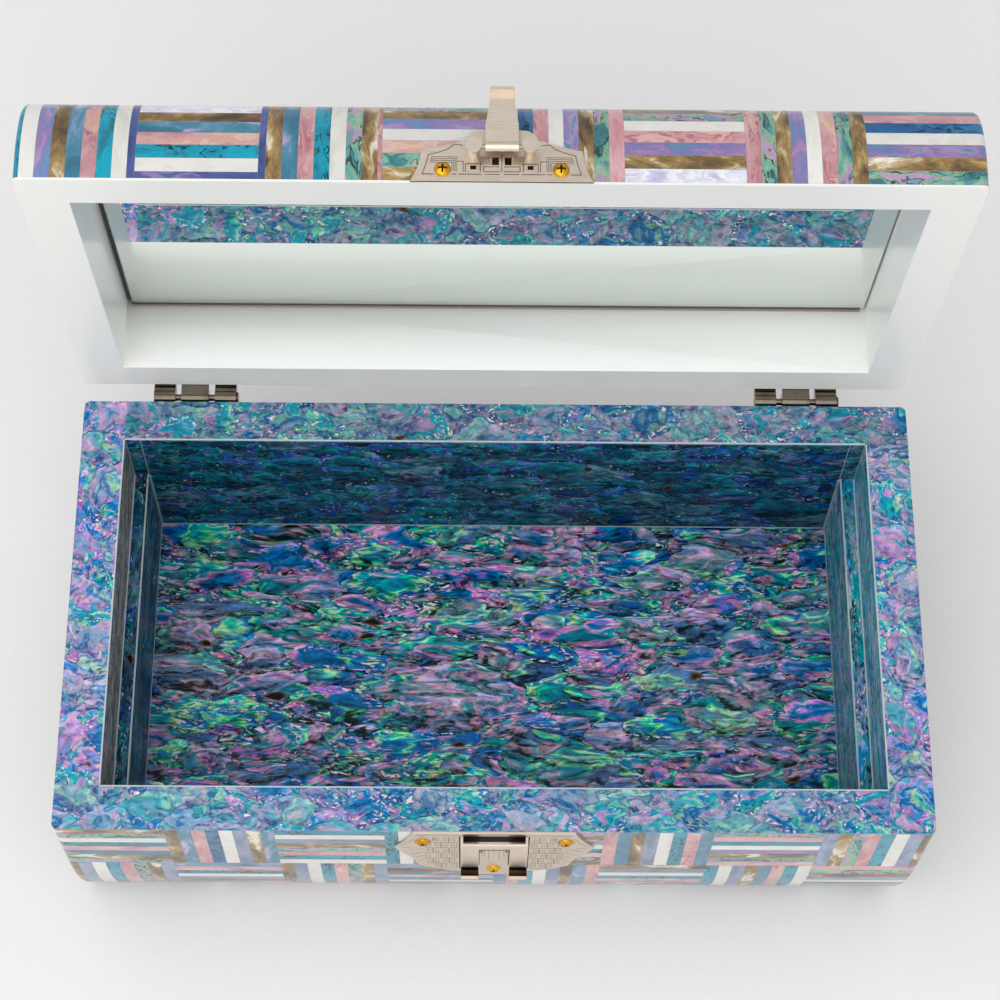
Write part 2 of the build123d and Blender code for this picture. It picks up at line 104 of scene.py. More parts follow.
def add_node(
    tree: bpy.types.NodeTree,
    kind: str,
    inputs: Inputs = (),
    output: Union[int, str] = 0,
    stops: Stops = (),
    **settings: object,
) -> Socket:
    """Adds a node with its settings, values and links.

    Args:
        tree: The node tree.
        kind: Node type, such as "Math".
        inputs: What fills its inputs.
        output: The output that is asked for.
        stops: Position and hex colour of each stop, on a colour ramp.
        **settings: Attributes of the node, set before its inputs.

    Returns:
        That output.
    """
    node = tree.nodes.new(f"ShaderNode{kind}")
    for name, value in settings.items():
        setattr(node, name, value)
    if stops:
        ramp = node.color_ramp
        ramp.elements.remove(ramp.elements[1])
        ramp.elements[0].position = stops[0][0]
        ramp.elements[0].color = linear(stops[0][1])
        for position, colour in stops[1:]:
            ramp.elements.new(position).color = linear(colour)
    fill(node, inputs)
    return node.outputs[output]


@dataclass(frozen=True)
class Finish:
    """A surface finish, made into one material the first time that it is asked for.

    Attributes:
        name: Name of the material.
    """

    name: str
    made: ClassVar[dict[str, bpy.types.Material]] = {}

    def material(self) -> bpy.types.Material:
        """Makes the material, or finds it where it is made.

        Returns:
            The material.
        """
        if self.name not in Finish.made:
            material = bpy.data.materials.new(self.name)
            material.use_nodes = True
            tree = material.node_tree
            fill(tree.nodes["Principled BSDF"], self.dress(partial(add_node, tree)))
            Finish.made[self.name] = material
        return Finish.made[self.name]

    def dress(self, add: AddNode) -> Inputs:
        """Adds the finish's nodes.

        Args:
            add: Adds a node to the material.

        Returns:
            What fills the shader's inputs.
        """
        raise NotImplementedError


def per_metre(*size_mm: float) -> tuple[float, ...]:
    """Factors that turn metres into units of a pattern, from the unit's real size in millimetres."""
    return tuple(1 / (size * MM) for size in size_mm)


def warped(add: AddNode, place: Socket, scale: float, reach: float) -> Socket:
    """Pushes coordinates about with soft noise, so that a pattern flows.

    Args:
        add: Adds a node to the material.
        place: Coordinates in pattern units.
        scale: Scale of the noise.
        reach: How far a point moves, in pattern units.

    Returns:
        The warped coordinates.
    """
    noise = add("TexNoise", {"Vector": place, "Scale": scale, "Detail": 2.0}, "Color")
    return add("VectorMath", (noise, [reach] * 3, place), operation="MULTIPLY_ADD")


@dataclass(frozen=True)
class ShellStrip(Finish):
    """Sawn and polished shell strip under clear resin: colour drifts along it, gloss is like glass.

    Attributes:
        stops: Colours that the strip drifts through.
        patch_mm: Size of a patch of colour across the strip.
        vein: Colour of the dark growth lines.
        vein_turns: How many growth lines cross the field.
        vein_share: How much of the strip the growth lines reach.
        streak: Contrast of the fine streaks: the shell's growth streaks with painted chatoyant sheen.
        nacre: Metallic share that gives the shell its inner shine.
        light: Value that the strip is scaled by.
        line: Width of a growth line, as a share of the way to the next.
        own_tone: How far a strip's own value and its grain depart from light.
    """

    stops: Stops
    patch_mm: float = 4.0
    vein: str = "#1C3A40"
    vein_turns: float = 5.0
    vein_share: float = 0.0
    streak: float = 0.2
    nacre: float = 0.15
    light: float = 0.86
    line: float = 0.17
    own_tone: float = 0.09

    def dress(self, add: AddNode) -> Inputs:
        """Adds the finish's nodes.

        Args:
            add: Adds a node to the material.

        Returns:
            What fills the shader's inputs.
        """
        place = add("UVMap", uv_map="strip")
        size = self.patch_mm
        patch = add("VectorMath", (place, per_metre(size * 2.2, size, size)), operation="MULTIPLY")
        flow_place = warped(add, patch, 0.9, 1.3)
        flow = add("TexNoise", {"Vector": flow_place, "Scale": 0.8, "Detail": 3.0, "Distortion": 0.6})
        spread = add("MapRange", (flow, 0.32, 0.68, 0.0, 1.0))
        colour = add("ValToRGB", [spread], stops=self.stops)
        if self.vein_share > 0:
            veins = self.growth_lines(add, flow, patch)
            colour = add("Mix", {0: veins, 6: colour, 7: linear(self.vein)}, 2, data_type="RGBA")
        # Growth streaks in shell are finer than 0.1 mm. They are drawn 0.45 mm wide so that they show.
        fine = add("VectorMath", (place, per_metre(26.0, 0.45, 1.0)), operation="MULTIPLY")
        grain = add("TexNoise", {"Vector": fine, "Scale": 1.0, "Detail": 2.0})
        # Painted sheen, partly the shell's own streaks: a broad noise lightens and darkens the strip.
        broad = add("VectorMath", (place, per_metre(2.6, 0.9, 1.0)), operation="MULTIPLY")
        sheen = add("TexNoise", {"Vector": warped(add, broad, 0.7, 2.2), "Scale": 1.6, "Detail": 5.0})
        tone = add("Attribute", output="Fac", attribute_name="tone")
        light = add("Math", (grain, 0.16, tone), operation="MULTIPLY_ADD")
        base = add("MapRange", (light, 0.0, 1.16, self.light - self.own_tone, self.light + self.own_tone))
        swing = add("MapRange", (sheen, 0.25, 0.75, -0.5 * self.streak, 0.5 * self.streak))
        value = add("Math", (base, swing), operation="ADD")
        return {
            "Base Color": add("HueSaturation", {"Value": value, "Color": colour}),
            "Normal": add("Bump", {"Strength": 0.25, "Distance": 0.02 * MM, "Height": grain}),
            "Metallic": self.nacre,
            "Roughness": 0.35,
            "Specular IOR Level": 0.1,
            "Coat Weight": 0.65,
            "Coat Roughness": 0.03,
            "Coat IOR": 1.5,
        }

    def growth_lines(self, add: AddNode, flow: Socket, patch: Socket) -> Socket:
        """Thin dark lines where the flow of colour crosses even levels.

        Args:
            add: Adds a node to the material.
            flow: The flow, about 0 to 1.
            patch: Coordinates in patches of colour.

        Returns:
            1 on a line and 0 off it.
        """
        level = add("Math", (flow, self.vein_turns), operation="MULTIPLY")
        swing = add("Math", (level, 0.5), operation="PINGPONG")
        lines = add("MapRange", (swing, self.line * 0.4, self.line, 1.0, 0.0))
        where = add("TexNoise", {"Vector": patch, "Scale": 0.4, "Detail": 1.0})
        start = 0.6 - 0.26 * self.vein_share
        near = add("MapRange", (where, start, start + 0.08, 0.0, 0.95))
        return add("Math", (lines, near), operation="MULTIPLY")


@dataclass(frozen=True)
class AbaloneSheet(Finish):
    """Crushed abalone laid in two coats under clear resin: torn flakes, each with its own run of colours.

    Attributes:
        flake_mm: Size of a flake along X, Y and Z.
        stops: Colours that a flake runs through. The last is the same as the first.
        ground: Colour of the blue ground that shows between flakes.
        opening: Width of the openings of the upper coat, as a share of a flake.
        bend: How far the flakes are bent, as a share of a flake.
        painted_light_way: Direction in which a flake is painted lighter, as painted light and shade across
            it.
        shade_and_contrast: How strongly it is so, and how strong the flakes' patches and ribs are.
        light: Value that the whole sheet is scaled by.
        glints: Share of painted glints, small bright highlights along the flakes' edges.
        holes: Share of dark holes.
        gloss: How much of the resin's gloss is left. Inside the box it is low, so that blacks stay deep.
        nacre: Metallic share that gives the shell its inner shine.
        lower_coat: How far the lower coat's pattern is moved, in flakes.
    """

    flake_mm: tuple[float, float, float]
    stops: Stops
    ground: str
    opening: float = 0.1
    bend: float = 0.8
    painted_light_way: tuple[float, float, float] = (1.0, 0.1, 0.4)
    shade_and_contrast: float = 0.8
    light: float = 1.0
    glints: float = 0.9
    holes: float = 0.05
    gloss: float = 0.3
    nacre: float = 0.2
    lower_coat: tuple[float, float, float] = (3.7, 5.1, 2.3)

    GLINT_STOPS: ClassVar[Stops] = (
        (0.3, "#8CF0BE"), (0.43, "#F4F2F6"), (0.53, "#F6B4DA"), (0.62, "#E9F08C"), (0.72, "#F8D8AE"),
    )

    def dress(self, add: AddNode) -> Inputs:
        """Adds the finish's nodes.

        Args:
            add: Adds a node to the material.

        Returns:
            What fills the shader's inputs.
        """
        place = add("TexCoord", output="Object")
        flakes = add("VectorMath", (place, per_metre(*self.flake_mm)), operation="MULTIPLY")
        sheet = warped(add, flakes, 0.8, self.bend)
        torn = warped(add, sheet, 4.0, 0.2)
        upper, upper_rim, flow = self.coat(add, torn)
        shifted = add("VectorMath", (torn, self.lower_coat), operation="ADD")
        lower, lower_rim, _ = self.coat(add, shifted)
        broad = add("TexNoise", {"Vector": sheet, "Scale": 1.1, "Detail": 3.0})
        opening = add("MapRange", (broad, 0.42, 0.66, -0.04, 2.4 * self.opening))
        crack = add("MapRange", (broad, 0.34, 0.52, 0.9 * self.opening, -0.02))
        inside = add("Math", (lower_rim, crack), operation="SUBTRACT")
        deep = add("MapRange", (inside, -0.01, 0.01, 1.0, 0.0))
        past = add("Math", (upper_rim, opening), operation="SUBTRACT")
        gap = add("MapRange", (past, -0.01, 0.01, 1.0, 0.0))
        shadow = add("MapRange", (past, -0.06, -0.01, 0.0, 0.45))
        for share in (deep, shadow):
            lower = add("Mix", {0: share, 6: lower, 7: linear(self.ground)}, 2, data_type="RGBA")
        colour = add("Mix", {0: gap, 6: upper, 7: lower}, 2, data_type="RGBA")
        height = add("Math", (flow, gap), operation="SUBTRACT")
        return {
            "Base Color": self.pitted(add, torn, colour),
            "Normal": add("Bump", {"Strength": 0.6, "Distance": 0.25 * MM, "Height": height}),
            "Metallic": self.nacre,
            "Roughness": 0.4,
            "Specular IOR Level": 0.08,
            "Coat Weight": self.gloss,
            "Coat Roughness": 0.03,
            "Coat IOR": 1.5,
        }

    def coat(self, add: AddNode, torn: Socket) -> tuple[Socket, Socket, Socket]:
        """One coat of flakes.

        Args:
            add: Adds a node to the material.
            torn: Coordinates in flakes.

        Returns:
            Colour, distance to the flake's edge and the flow of colour.
        """
        cell = add("TexVoronoi", {"Vector": torn, "Scale": 1.0}).node.outputs
        rim = add("TexVoronoi", {"Vector": torn, "Scale": 1.0}, feature="DISTANCE_TO_EDGE")
        chance = add("SeparateColor", [cell["Color"]]).node.outputs
        local = add("VectorMath", (torn, cell["Position"]), operation="SUBTRACT")
        lean = add("VectorMath", (cell["Color"], [0.5] * 3), operation="SUBTRACT")
        across = add("VectorMath", (local, lean), 1, operation="DOT_PRODUCT")
        own = add("VectorMath", (cell["Color"], [9.0] * 3, torn), operation="MULTIPLY_ADD")
        flow = add("TexNoise", {"Vector": own, "Scale": 1.3, "Detail": 3.0, "Distortion": 1.0})
        fine_look = {"Vector": own, "Scale": 5.0, "Detail": 6.0, "Roughness": 0.7, "Distortion": 0.4}
        fine = add("TexNoise", fine_look)
        # Each flake starts at a place of its own in the run of colours and drifts across its lean.
        turn = add("MapRange", (rim, 0.0, 0.3, 0.3, 0.0))
        for part, share in ((chance[0], 0.6), (across, 0.7), (flow, 1.7)):
            turn = add("Math", (part, share, turn), operation="MULTIPLY_ADD")
        turn = add("Math", [turn], operation="FRACT")
        colour = add("ValToRGB", [turn], stops=self.stops)
        # Growth ribs run across some of the flakes, about a twelfth of a flake apart.
        along = add("VectorMath", (torn, lean), 1, operation="DOT_PRODUCT")
        ribs_place = add("Math", (along, 75.0), operation="MULTIPLY")
        ribs_place = add("Math", (flow, 16.0, ribs_place), operation="MULTIPLY_ADD")
        wave = add("Math", [ribs_place], operation="SINE")
        ribbed = add("MapRange", (chance[1], 0.5, 0.9, 0.0, 0.1 + 0.2 * self.shade_and_contrast))
        ribs = add("Math", (wave, ribbed), operation="MULTIPLY")
        # Painted light and shade: a flake grows lighter along the painted light way and is patchy, and its
        # shaded side is painted into the ground colour.
        lit_way = [part * self.shade_and_contrast * 0.8 for part in self.painted_light_way]
        painted_lighting = add("VectorMath", (local, lit_way), 1, operation="DOT_PRODUCT")
        reach = 0.95 * self.shade_and_contrast + 0.12
        patch = add("MapRange", (fine, 0.28, 0.72, -reach, reach))
        shade = add("Math", (painted_lighting, patch), operation="ADD")
        shade = add("Math", (shade, ribs), operation="ADD")
        value = add("Math", (shade, self.light), operation="ADD")
        value = add("Math", (value, 0.12), operation="MAXIMUM")
        strength = add("MapRange", (chance[2], 0.1, 0.9, 0.8, 1.4))
        colour = add("HueSaturation", {"Value": value, "Saturation": strength, "Color": colour})
        shaded_side = add("MapRange", (shade, -0.8 * self.shade_and_contrast - 0.05, -0.35 * self.shade_and_contrast, 0.8, 0.0))
        colour = add("Mix", {0: shaded_side, 6: colour, 7: linear(self.ground)}, 2, data_type="RGBA")
        # Painted glints: small bright highlights stand a little inside the edges of some flakes.
        glint_noise = add("TexNoise", {"Vector": own, "Scale": 12.0, "Detail": 2.0})
        where = add("MapRange", (rim, 0.02, 0.05, 0.0, 1.0))
        start = 0.68 - 0.1 * self.glints
        for limits in (
            (rim, 0.12, 0.22, 1.0, 0.0),
            (chance[2], 0.5, 0.6, 0.0, 1.0),
            (glint_noise, start, 0.76 - 0.1 * self.glints, 0.0, 0.9),
        ):
            where = add("Math", (where, add("MapRange", limits)), operation="MULTIPLY")
        glint_colour = add("ValToRGB", [fine], stops=self.GLINT_STOPS)
        return add("Mix", {0: where, 6: colour, 7: glint_colour}, 2, data_type="RGBA"), rim, flow

    def pitted(self, add: AddNode, torn: Socket, colour: Socket) -> Socket:
        """Adds dark holes with brown rims, as worm holes in the shell.

        Args:
            add: Adds a node to the material.
            torn: Coordinates in flakes.
            colour: Colour before the holes.

        Returns:
            Colour with the holes.
        """
        pits = add("TexVoronoi", {"Vector": torn, "Scale": 1.7}).node.outputs
        pick = add("SeparateColor", [pits["Color"]])
        rare = add("MapRange", (pick, 0.99 - self.holes, 1.0 - self.holes, 0.0, 1.0))
        for low, high, code in ((0.2, 0.26, "#5A4526"), (0.13, 0.19, "#0C1016")):
            near = add("MapRange", (pits["Distance"], low, high, 1.0, 0.0))
            share = add("Math", (rare, near), operation="MULTIPLY")
            colour = add("Mix", {0: share, 6: colour, 7: linear(code)}, 2, data_type="RGBA")
        return colour


@dataclass(frozen=True)
class Surface(Finish):
    """A finish whose main colour drifts to a second one.

    Attributes:
        colour: Main colour.
        second: Colour that it drifts to.
    """

    colour: str
    second: str

    def drift(self, add: AddNode, share: Socket) -> Socket:
        """Mixes the two colours.

        Args:
            add: Adds a node to the material.
            share: How much of the second colour.

        Returns:
            The colour.
        """
        return add("Mix", {0: share, 6: linear(self.colour), 7: linear(self.second)}, 2, data_type="RGBA")


@dataclass(frozen=True)
class Plated(Surface):
    """Polished plate on brass: a warm mirror-like gloss with hairline polishing marks.

    Attributes:
        roughness: Roughness of the polish.
        hairline_mm: Spacing of the polishing marks. The real ones, of about 0.05 mm, are too fine to show.
    """

    roughness: float
    hairline_mm: float = 0.25

    def dress(self, add: AddNode) -> Inputs:
        """Adds the finish's nodes.

        Args:
            add: Adds a node to the material.

        Returns:
            What fills the shader's inputs.
        """
        place = add("TexCoord", output="Object")
        marks = per_metre(9.0, self.hairline_mm, self.hairline_mm)
        hairs_place = add("VectorMath", (place, marks), operation="MULTIPLY")
        hairs = add("TexNoise", {"Vector": hairs_place, "Scale": 1.0, "Detail": 2.0})
        cloud = add("VectorMath", (place, per_metre(5.0, 5.0, 5.0)), operation="MULTIPLY")
        wear = add("TexNoise", {"Vector": cloud, "Scale": 1.0, "Detail": 3.0})
        polish = (hairs, 0.3, 0.7, self.roughness * 0.75, self.roughness * 1.4)
        return {
            "Base Color": self.drift(add, add("MapRange", (wear, 0.45, 0.7, 0.0, 0.6))),
            "Roughness": add("MapRange", polish),
            "Normal": add("Bump", {"Strength": 0.06, "Distance": 0.01 * MM, "Height": hairs}),
            "Metallic": 1.0,
        }


@dataclass(frozen=True)
class Lacquer(Surface):
    """Sprayed lacquer or cured resin: even, glossy, with a faint orange peel.

    Attributes:
        peel_mm: Spacing of the orange peel.
    """

    peel_mm: float = 1.6

    def dress(self, add: AddNode) -> Inputs:
        """Adds the finish's nodes.

        Args:
            add: Adds a node to the material.

        Returns:
            What fills the shader's inputs.
        """
        place = add("TexCoord", output="Object")
        cloud = add("VectorMath", (place, per_metre(40.0, 40.0, 40.0)), operation="MULTIPLY")
        share = add("TexNoise", {"Vector": cloud, "Scale": 1.0, "Detail": 2.0})
        peel = add("VectorMath", (place, per_metre(*(self.peel_mm,) * 3)), operation="MULTIPLY")
        waves = add("TexNoise", {"Vector": peel, "Scale": 1.0, "Detail": 1.0})
        return {
            "Base Color": self.drift(add, share),
            "Normal": add("Bump", {"Strength": 0.08, "Distance": 0.02 * MM, "Height": waves}),
            "Roughness": 0.32,
            "Coat Weight": 0.35,
            "Coat Roughness": 0.12,
        }


@dataclass(frozen=True)
class SilveredGlass(Finish):
    """Float glass silvered on its back: a clean mirror with a faint green cast.

    Attributes:
        colour: Colour of what it reflects.
    """

    colour: str

    def dress(self, add: AddNode) -> Inputs:
        """Adds the finish's nodes.

        Args:
            add: Adds a node to the material.

        Returns:
            What fills the shader's inputs.
        """
        place = add("TexCoord", output="Object")
        cloud = add("VectorMath", (place, per_metre(3.0, 3.0, 3.0)), operation="MULTIPLY")
        dust = add("TexNoise", {"Vector": cloud, "Scale": 1.0, "Detail": 4.0})
        return {
            "Roughness": add("MapRange", (dust, 0.4, 0.8, 0.004, 0.02)),
            "Base Color": linear(self.colour),
            "Metallic": 1.0,
        }


@dataclass(frozen=True)
class Fibrous(Surface):
    """Board, card or felt: matt fibres with a soft drift of tone.

    Attributes:
        fibre_mm: Length of a fibre.
        relief_mm: How far the fibres stand up.
    """

    fibre_mm: float
    relief_mm: float

    def dress(self, add: AddNode) -> Inputs:
        """Adds the finish's nodes.

        Args:
            add: Adds a node to the material.

        Returns:
            What fills the shader's inputs.
        """
        place = add("TexCoord", output="Object")
        size = per_metre(self.fibre_mm, self.fibre_mm * 0.3, self.fibre_mm * 0.3)
        fibre = add("VectorMath", (place, size), operation="MULTIPLY")
        noise = add("TexNoise", {"Vector": fibre, "Scale": 1.0, "Detail": 5.0, "Distortion": 1.2})
        return {
            "Base Color": self.drift(add, add("MapRange", (noise, 0.35, 0.75, 0.0, 1.0))),
            "Normal": add("Bump", {"Strength": 0.6, "Distance": self.relief_mm * MM, "Height": noise}),
            "Roughness": 0.85,
        }


class Shell(Enum):
    """The kinds of shell that the strips are sawn from. The value is the material's place on a panel."""

    TEAL = 0
    WHITE = 1
    VIOLET = 2
    BRONZE = 3
    STEEL = 4
    PINK = 5
    PAUA = 6
    SLATE = 7
    ROYAL = 8
    PEARL = 9
    INDIGO = 10


# Dyed river shell, dyed trochus and paua, all sawn to strips and polished flat. The clear resin over them
# gives an even gloss, and each strip drifts between near colours.
STRIP_FINISHES: dict[Shell, ShellStrip] = {
    Shell.TEAL: ShellStrip(
        "teal_dyed_shell",
        ((0.0, "#10708C"), (0.3, "#0592AE"), (0.55, "#08A6C0"), (0.8, "#0C92AC"), (1.0, "#257C8C")),
        vein="#08262E", vein_turns=6.0, vein_share=0.75, streak=0.25,
    ),
    Shell.WHITE: ShellStrip(
        "white_river_shell",
        ((0.0, "#E0DDD4"), (0.4, "#EAE8E0"), (0.7, "#EEECE6"), (1.0, "#E5E2DA")),
        patch_mm=7.0, streak=0.1, nacre=0.05,
    ),
    Shell.VIOLET: ShellStrip(
        "violet_trochus_shell",
        (
            (0.0, "#6E9CC0"), (0.2, "#7690C2"), (0.4, "#8A8AC0"), (0.6, "#A386BC"), (0.78, "#B796C2"),
            (0.9, "#93A6CC"), (1.0, "#6D8FB8"),
        ),
        patch_mm=5.0, streak=0.25, nacre=0.25,
    ),
    Shell.BRONZE: ShellStrip(
        "bronze_oyster_shell",
        (
            (0.0, "#4E3C26"), (0.24, "#6E573A"), (0.48, "#8E734A"), (0.66, "#A88B58"), (0.78, "#BCA270"),
            (0.88, "#DCCFB2"), (1.0, "#EEE6D6"),
        ),
        patch_mm=5.5, streak=0.55, nacre=0.2,
    ),
    Shell.STEEL: ShellStrip(
        "steel_blue_dyed_shell",
        (
            (0.0, "#38708C"), (0.35, "#417F9A"), (0.6, "#528DA6"), (0.78, "#769CBC"), (0.9, "#A9A6CC"),
            (1.0, "#C4B4D2"),
        ),
        patch_mm=6.0, streak=0.25, nacre=0.2,
    ),
    Shell.PINK: ShellStrip(
        "pink_conch_shell",
        (
            (0.0, "#C4868C"), (0.3, "#D29CA2"), (0.6, "#DDB0B2"), (0.8, "#E0AE9C"), (0.92, "#E8C9B4"),
            (1.0, "#E2BDB8"),
        ),
        patch_mm=5.0, vein="#B9707A", vein_turns=4.0, vein_share=0.35, streak=0.2, nacre=0.1,
    ),
    Shell.PAUA: ShellStrip(
        "green_paua_shell",
        (
            (0.0, "#3F7E88"), (0.2, "#5FA3A2"), (0.38, "#83BCA0"), (0.52, "#A6C7A4"), (0.64, "#B5A4BE"),
            (0.76, "#C79CC0"), (0.88, "#8DA6C8"), (1.0, "#6CA8B0"),
        ),
        patch_mm=4.5, vein="#34453C", vein_turns=8.0, vein_share=0.75, streak=0.25, nacre=0.25,
    ),
    Shell.SLATE: ShellStrip(
        "slate_blue_shell",
        ((0.0, "#6E84A4"), (0.4, "#8494B2"), (0.7, "#93A0BC"), (0.86, "#A9A6C8"), (1.0, "#7FA6BA")),
        patch_mm=5.0, streak=0.25, nacre=0.2,
    ),
    Shell.ROYAL: ShellStrip(
        "royal_blue_dyed_shell",
        ((0.0, "#174F86"), (0.35, "#15649E"), (0.65, "#1C74AE"), (0.85, "#34809E"), (1.0, "#245C8C")),
        vein="#0D2438", vein_turns=6.0, vein_share=1.0, streak=0.25,
    ),
    Shell.PEARL: ShellStrip(
        "white_pearl_shell",
        (
            (0.0, "#C6C0E0"), (0.2, "#E4E6F2"), (0.4, "#F4F2F6"), (0.55, "#E6D0E6"), (0.68, "#CCE2EC"),
            (0.82, "#F2F0F4"), (1.0, "#D6C2DE"),
        ),
        patch_mm=5.0, vein="#8C8CA0", vein_turns=5.0, vein_share=0.15, streak=0.25, nacre=0.1, light=0.95,
    ),
    Shell.INDIGO: ShellStrip(
        "indigo_trochus_shell",
        (
            (0.0, "#39487C"), (0.35, "#465A92"), (0.6, "#535E9A"), (0.78, "#7468A8"), (0.9, "#9A84B8"),
            (1.0, "#4E6C98"),
        ),
        patch_mm=6.0, streak=0.3, nacre=0.2,
    ),
}

# Clear casting resin that ran into the seams: grey from the sanding dust in it.
SEAM_FINISH = Lacquer("resin_seam", "#6E7880", "#7E878C")

RIM_STOPS = (
    (0.0, "#6E9CC0"), (0.1, "#8694C6"), (0.19, "#AA90C4"), (0.27, "#CC98BE"), (0.34, "#A8A8C2"),
    (0.43, "#6AA0BC"), (0.52, "#4498B8"), (0.6, "#42AEB6"), (0.67, "#7CC6AE"), (0.73, "#AEC0A0"),
    (0.8, "#7EAAC2"), (0.88, "#367CB6"), (0.94, "#1460AC"), (1.0, "#6E9CC0"),
)
BLUE_RIM_STOPS = (
    (0.0, "#6496B2"), (0.12, "#8098BA"), (0.22, "#A292BA"), (0.28, "#BA9EB8"), (0.36, "#6EA0B2"),
    (0.5, "#4493AC"), (0.6, "#50A8AC"), (0.68, "#86BEA4"), (0.75, "#84A6B0"), (0.86, "#3C7AAA"),
    (0.94, "#1E629E"), (1.0, "#6496B2"),
)
# Crushed abalone on the rim, set in resin and polished: the strips at the sides are rosy, the others blue.
SIDE_RIM = AbaloneSheet(
    "rose_abalone_rim_sheet", (12.5, 12.5, 12.5), RIM_STOPS, "#0B478C", bend=0.7, painted_light_way=(0.3, 1.0, 0.0),
    shade_and_contrast=0.46, light=0.88, glints=1.3, holes=0.04,
)
FRONT_RIM = replace(
    SIDE_RIM, name="blue_abalone_rim_sheet", flake_mm=(15.0, 11.0, 12.0), stops=BLUE_RIM_STOPS,
    ground="#083F82", light=0.93,
)
BACK_RIM = replace(FRONT_RIM, name="deep_blue_abalone_rim_sheet", ground="#063A78", light=0.71)
# Crushed abalone inside the box, less glossy: deep blue-green flakes with dark cracks between them.
FLOOR_SHEET = AbaloneSheet(
    "abalone_floor_sheet",
    (27.0, 10.5, 10.5),
    (
        (0.0, "#3E6E94"), (0.1, "#6684B0"), (0.17, "#9A82BE"), (0.23, "#C88AB6"), (0.28, "#A6949E"),
        (0.36, "#4E8096"), (0.46, "#17708C"), (0.54, "#169894"), (0.6, "#56C090"), (0.65, "#A8CC94"),
        (0.71, "#489CAC"), (0.8, "#126492"), (0.89, "#0A50A4"), (0.95, "#195680"), (1.0, "#3E6E94"),
    ),
    "#01101A", opening=0.12, bend=0.9, painted_light_way=(0.15, 1.0, 0.0), shade_and_contrast=1.15, light=0.9, glints=1.3, holes=0.08,
    gloss=0.12, nacre=0.1,
)
WALL_STOPS = (
    (0.0, "#00415F"), (0.2, "#005470"), (0.35, "#0A6F7C"), (0.45, "#1E8088"), (0.53, "#3A70A2"),
    (0.6, "#7668A6"), (0.66, "#12629A"), (0.8, "#003A86"), (0.9, "#003A5E"), (1.0, "#00415F"),
)
WALL_SHEET = AbaloneSheet(
    "abalone_wall_sheet", (18.0, 12.0, 11.0), WALL_STOPS, "#000D1A", painted_light_way=(0.3, 0.0, 1.0), shade_and_contrast=1.0,
    light=0.76, glints=0.6, holes=0.09, gloss=0.06, nacre=0.05,
)
LEFT_LEDGE_SHEET = AbaloneSheet(
    "dark_abalone_ledge_sheet", (7.0, 18.0, 7.0), WALL_STOPS, "#000D1A", light=0.82, gloss=0.08, nacre=0.05
)
LEFT_END_SHEET = AbaloneSheet(
    "brown_abalone_end_sheet",
    (4.0, 13.0, 5.0),
    (
        (0.0, "#4C6066"), (0.15, "#6C7268"), (0.3, "#8C8A7A"), (0.42, "#A08C88"), (0.52, "#A88E9C"),
        (0.62, "#6E8090"), (0.74, "#33647C"), (0.86, "#5A6450"), (1.0, "#4C6066"),
    ),
    "#0A1A1C", light=1.15, holes=0.08, gloss=0.15, nacre=0.1,
)
TEAL_STOPS = (
    (0.0, "#2E7C94"), (0.15, "#3A949E"), (0.3, "#5AA6A6"), (0.42, "#86A0AC"), (0.52, "#9A9AC0"),
    (0.62, "#4E90BC"), (0.74, "#1274A0"), (0.86, "#17708A"), (1.0, "#2E7C94"),
)
RIGHT_END_SHEET = AbaloneSheet(
    "teal_abalone_end_sheet", (6.0, 18.0, 6.0), TEAL_STOPS, "#042A3A", shade_and_contrast=0.6, light=1.2, glints=1.0,
    gloss=0.15, nacre=0.1,
)
RIGHT_LEDGE_SHEET = AbaloneSheet(
    "teal_abalone_ledge_sheet", (7.0, 18.0, 7.0), TEAL_STOPS, "#032030", shade_and_contrast=0.7, light=0.95, glints=1.0,
    gloss=0.1, nacre=0.05,
)

# Nickel plate on pressed brass, worn warm: the rubbed parts are bright, the engraved lines are darkened, and
# the recesses and the pocket get painted shade.
NICKEL = Plated("warm_nickel_plate", "#DFD1C0", "#E5D9CA", 0.32)
CATCH_NICKEL = Plated("rubbed_warm_nickel_plate", "#D6C8B7", "#DED1C1", 0.34)
SATIN_NICKEL = Plated("satin_nickel_plate", "#E2D5C5", "#D9CBBB", 0.5)
# Hinge nickel, darkened all over: painted shade for the dark reflections along the knuckles.
HINGE_NICKEL = Plated("darkened_hinge_nickel_plate", "#766D60", "#544C42", 0.1)
ENGRAVING = Plated("darkened_nickel_in_the_engraving", "#9C9082", "#A89C8D", 0.35)
DEEP_ENGRAVING = Plated("deep_tarnished_engraving", "#7C7063", "#8E8274", 0.35)
# Painted shade: near-black nickel laid where shade falls, in the recesses, the screw slots, the rolled foot
# and the catch's pocket.
RECESS_PAINTED_SHADE = Plated("painted_shade_in_the_recesses", "#2C221A", "#4C3E2C", 0.3)
POCKET_PAINTED_SHADE = Plated("painted_shade_in_the_pocket", "#1C1510", "#3A2E20", 0.6)
# Gilt brass screw heads: saturated yellow where they are polished, brown where the gilt is rubbed.
GILT = Plated("rubbed_gilt_brass", "#E3A92E", "#8F6116", 0.18)
# Drawn steel with a thin plating: a grey and duller gloss.
STEEL_AXLE = Plated("plated_steel_axle", "#A69C90", "#8E857A", 0.2)
# White lacquer sprayed on fibreboard: even and bright, with soft highlights.
WHITE_LACQUER = Lacquer("white_gloss_lacquer", "#EFEFEA", "#EBEBE5")
# A brighter copy of the lacquer for the lid's recess: painted light that lifts the shade falling in the
# recess.
RECESS_PAINTED_LIGHT_LACQUER = Lacquer("painted_light_white_recess_lacquer", "#FFFFFC", "#FBFBF6")
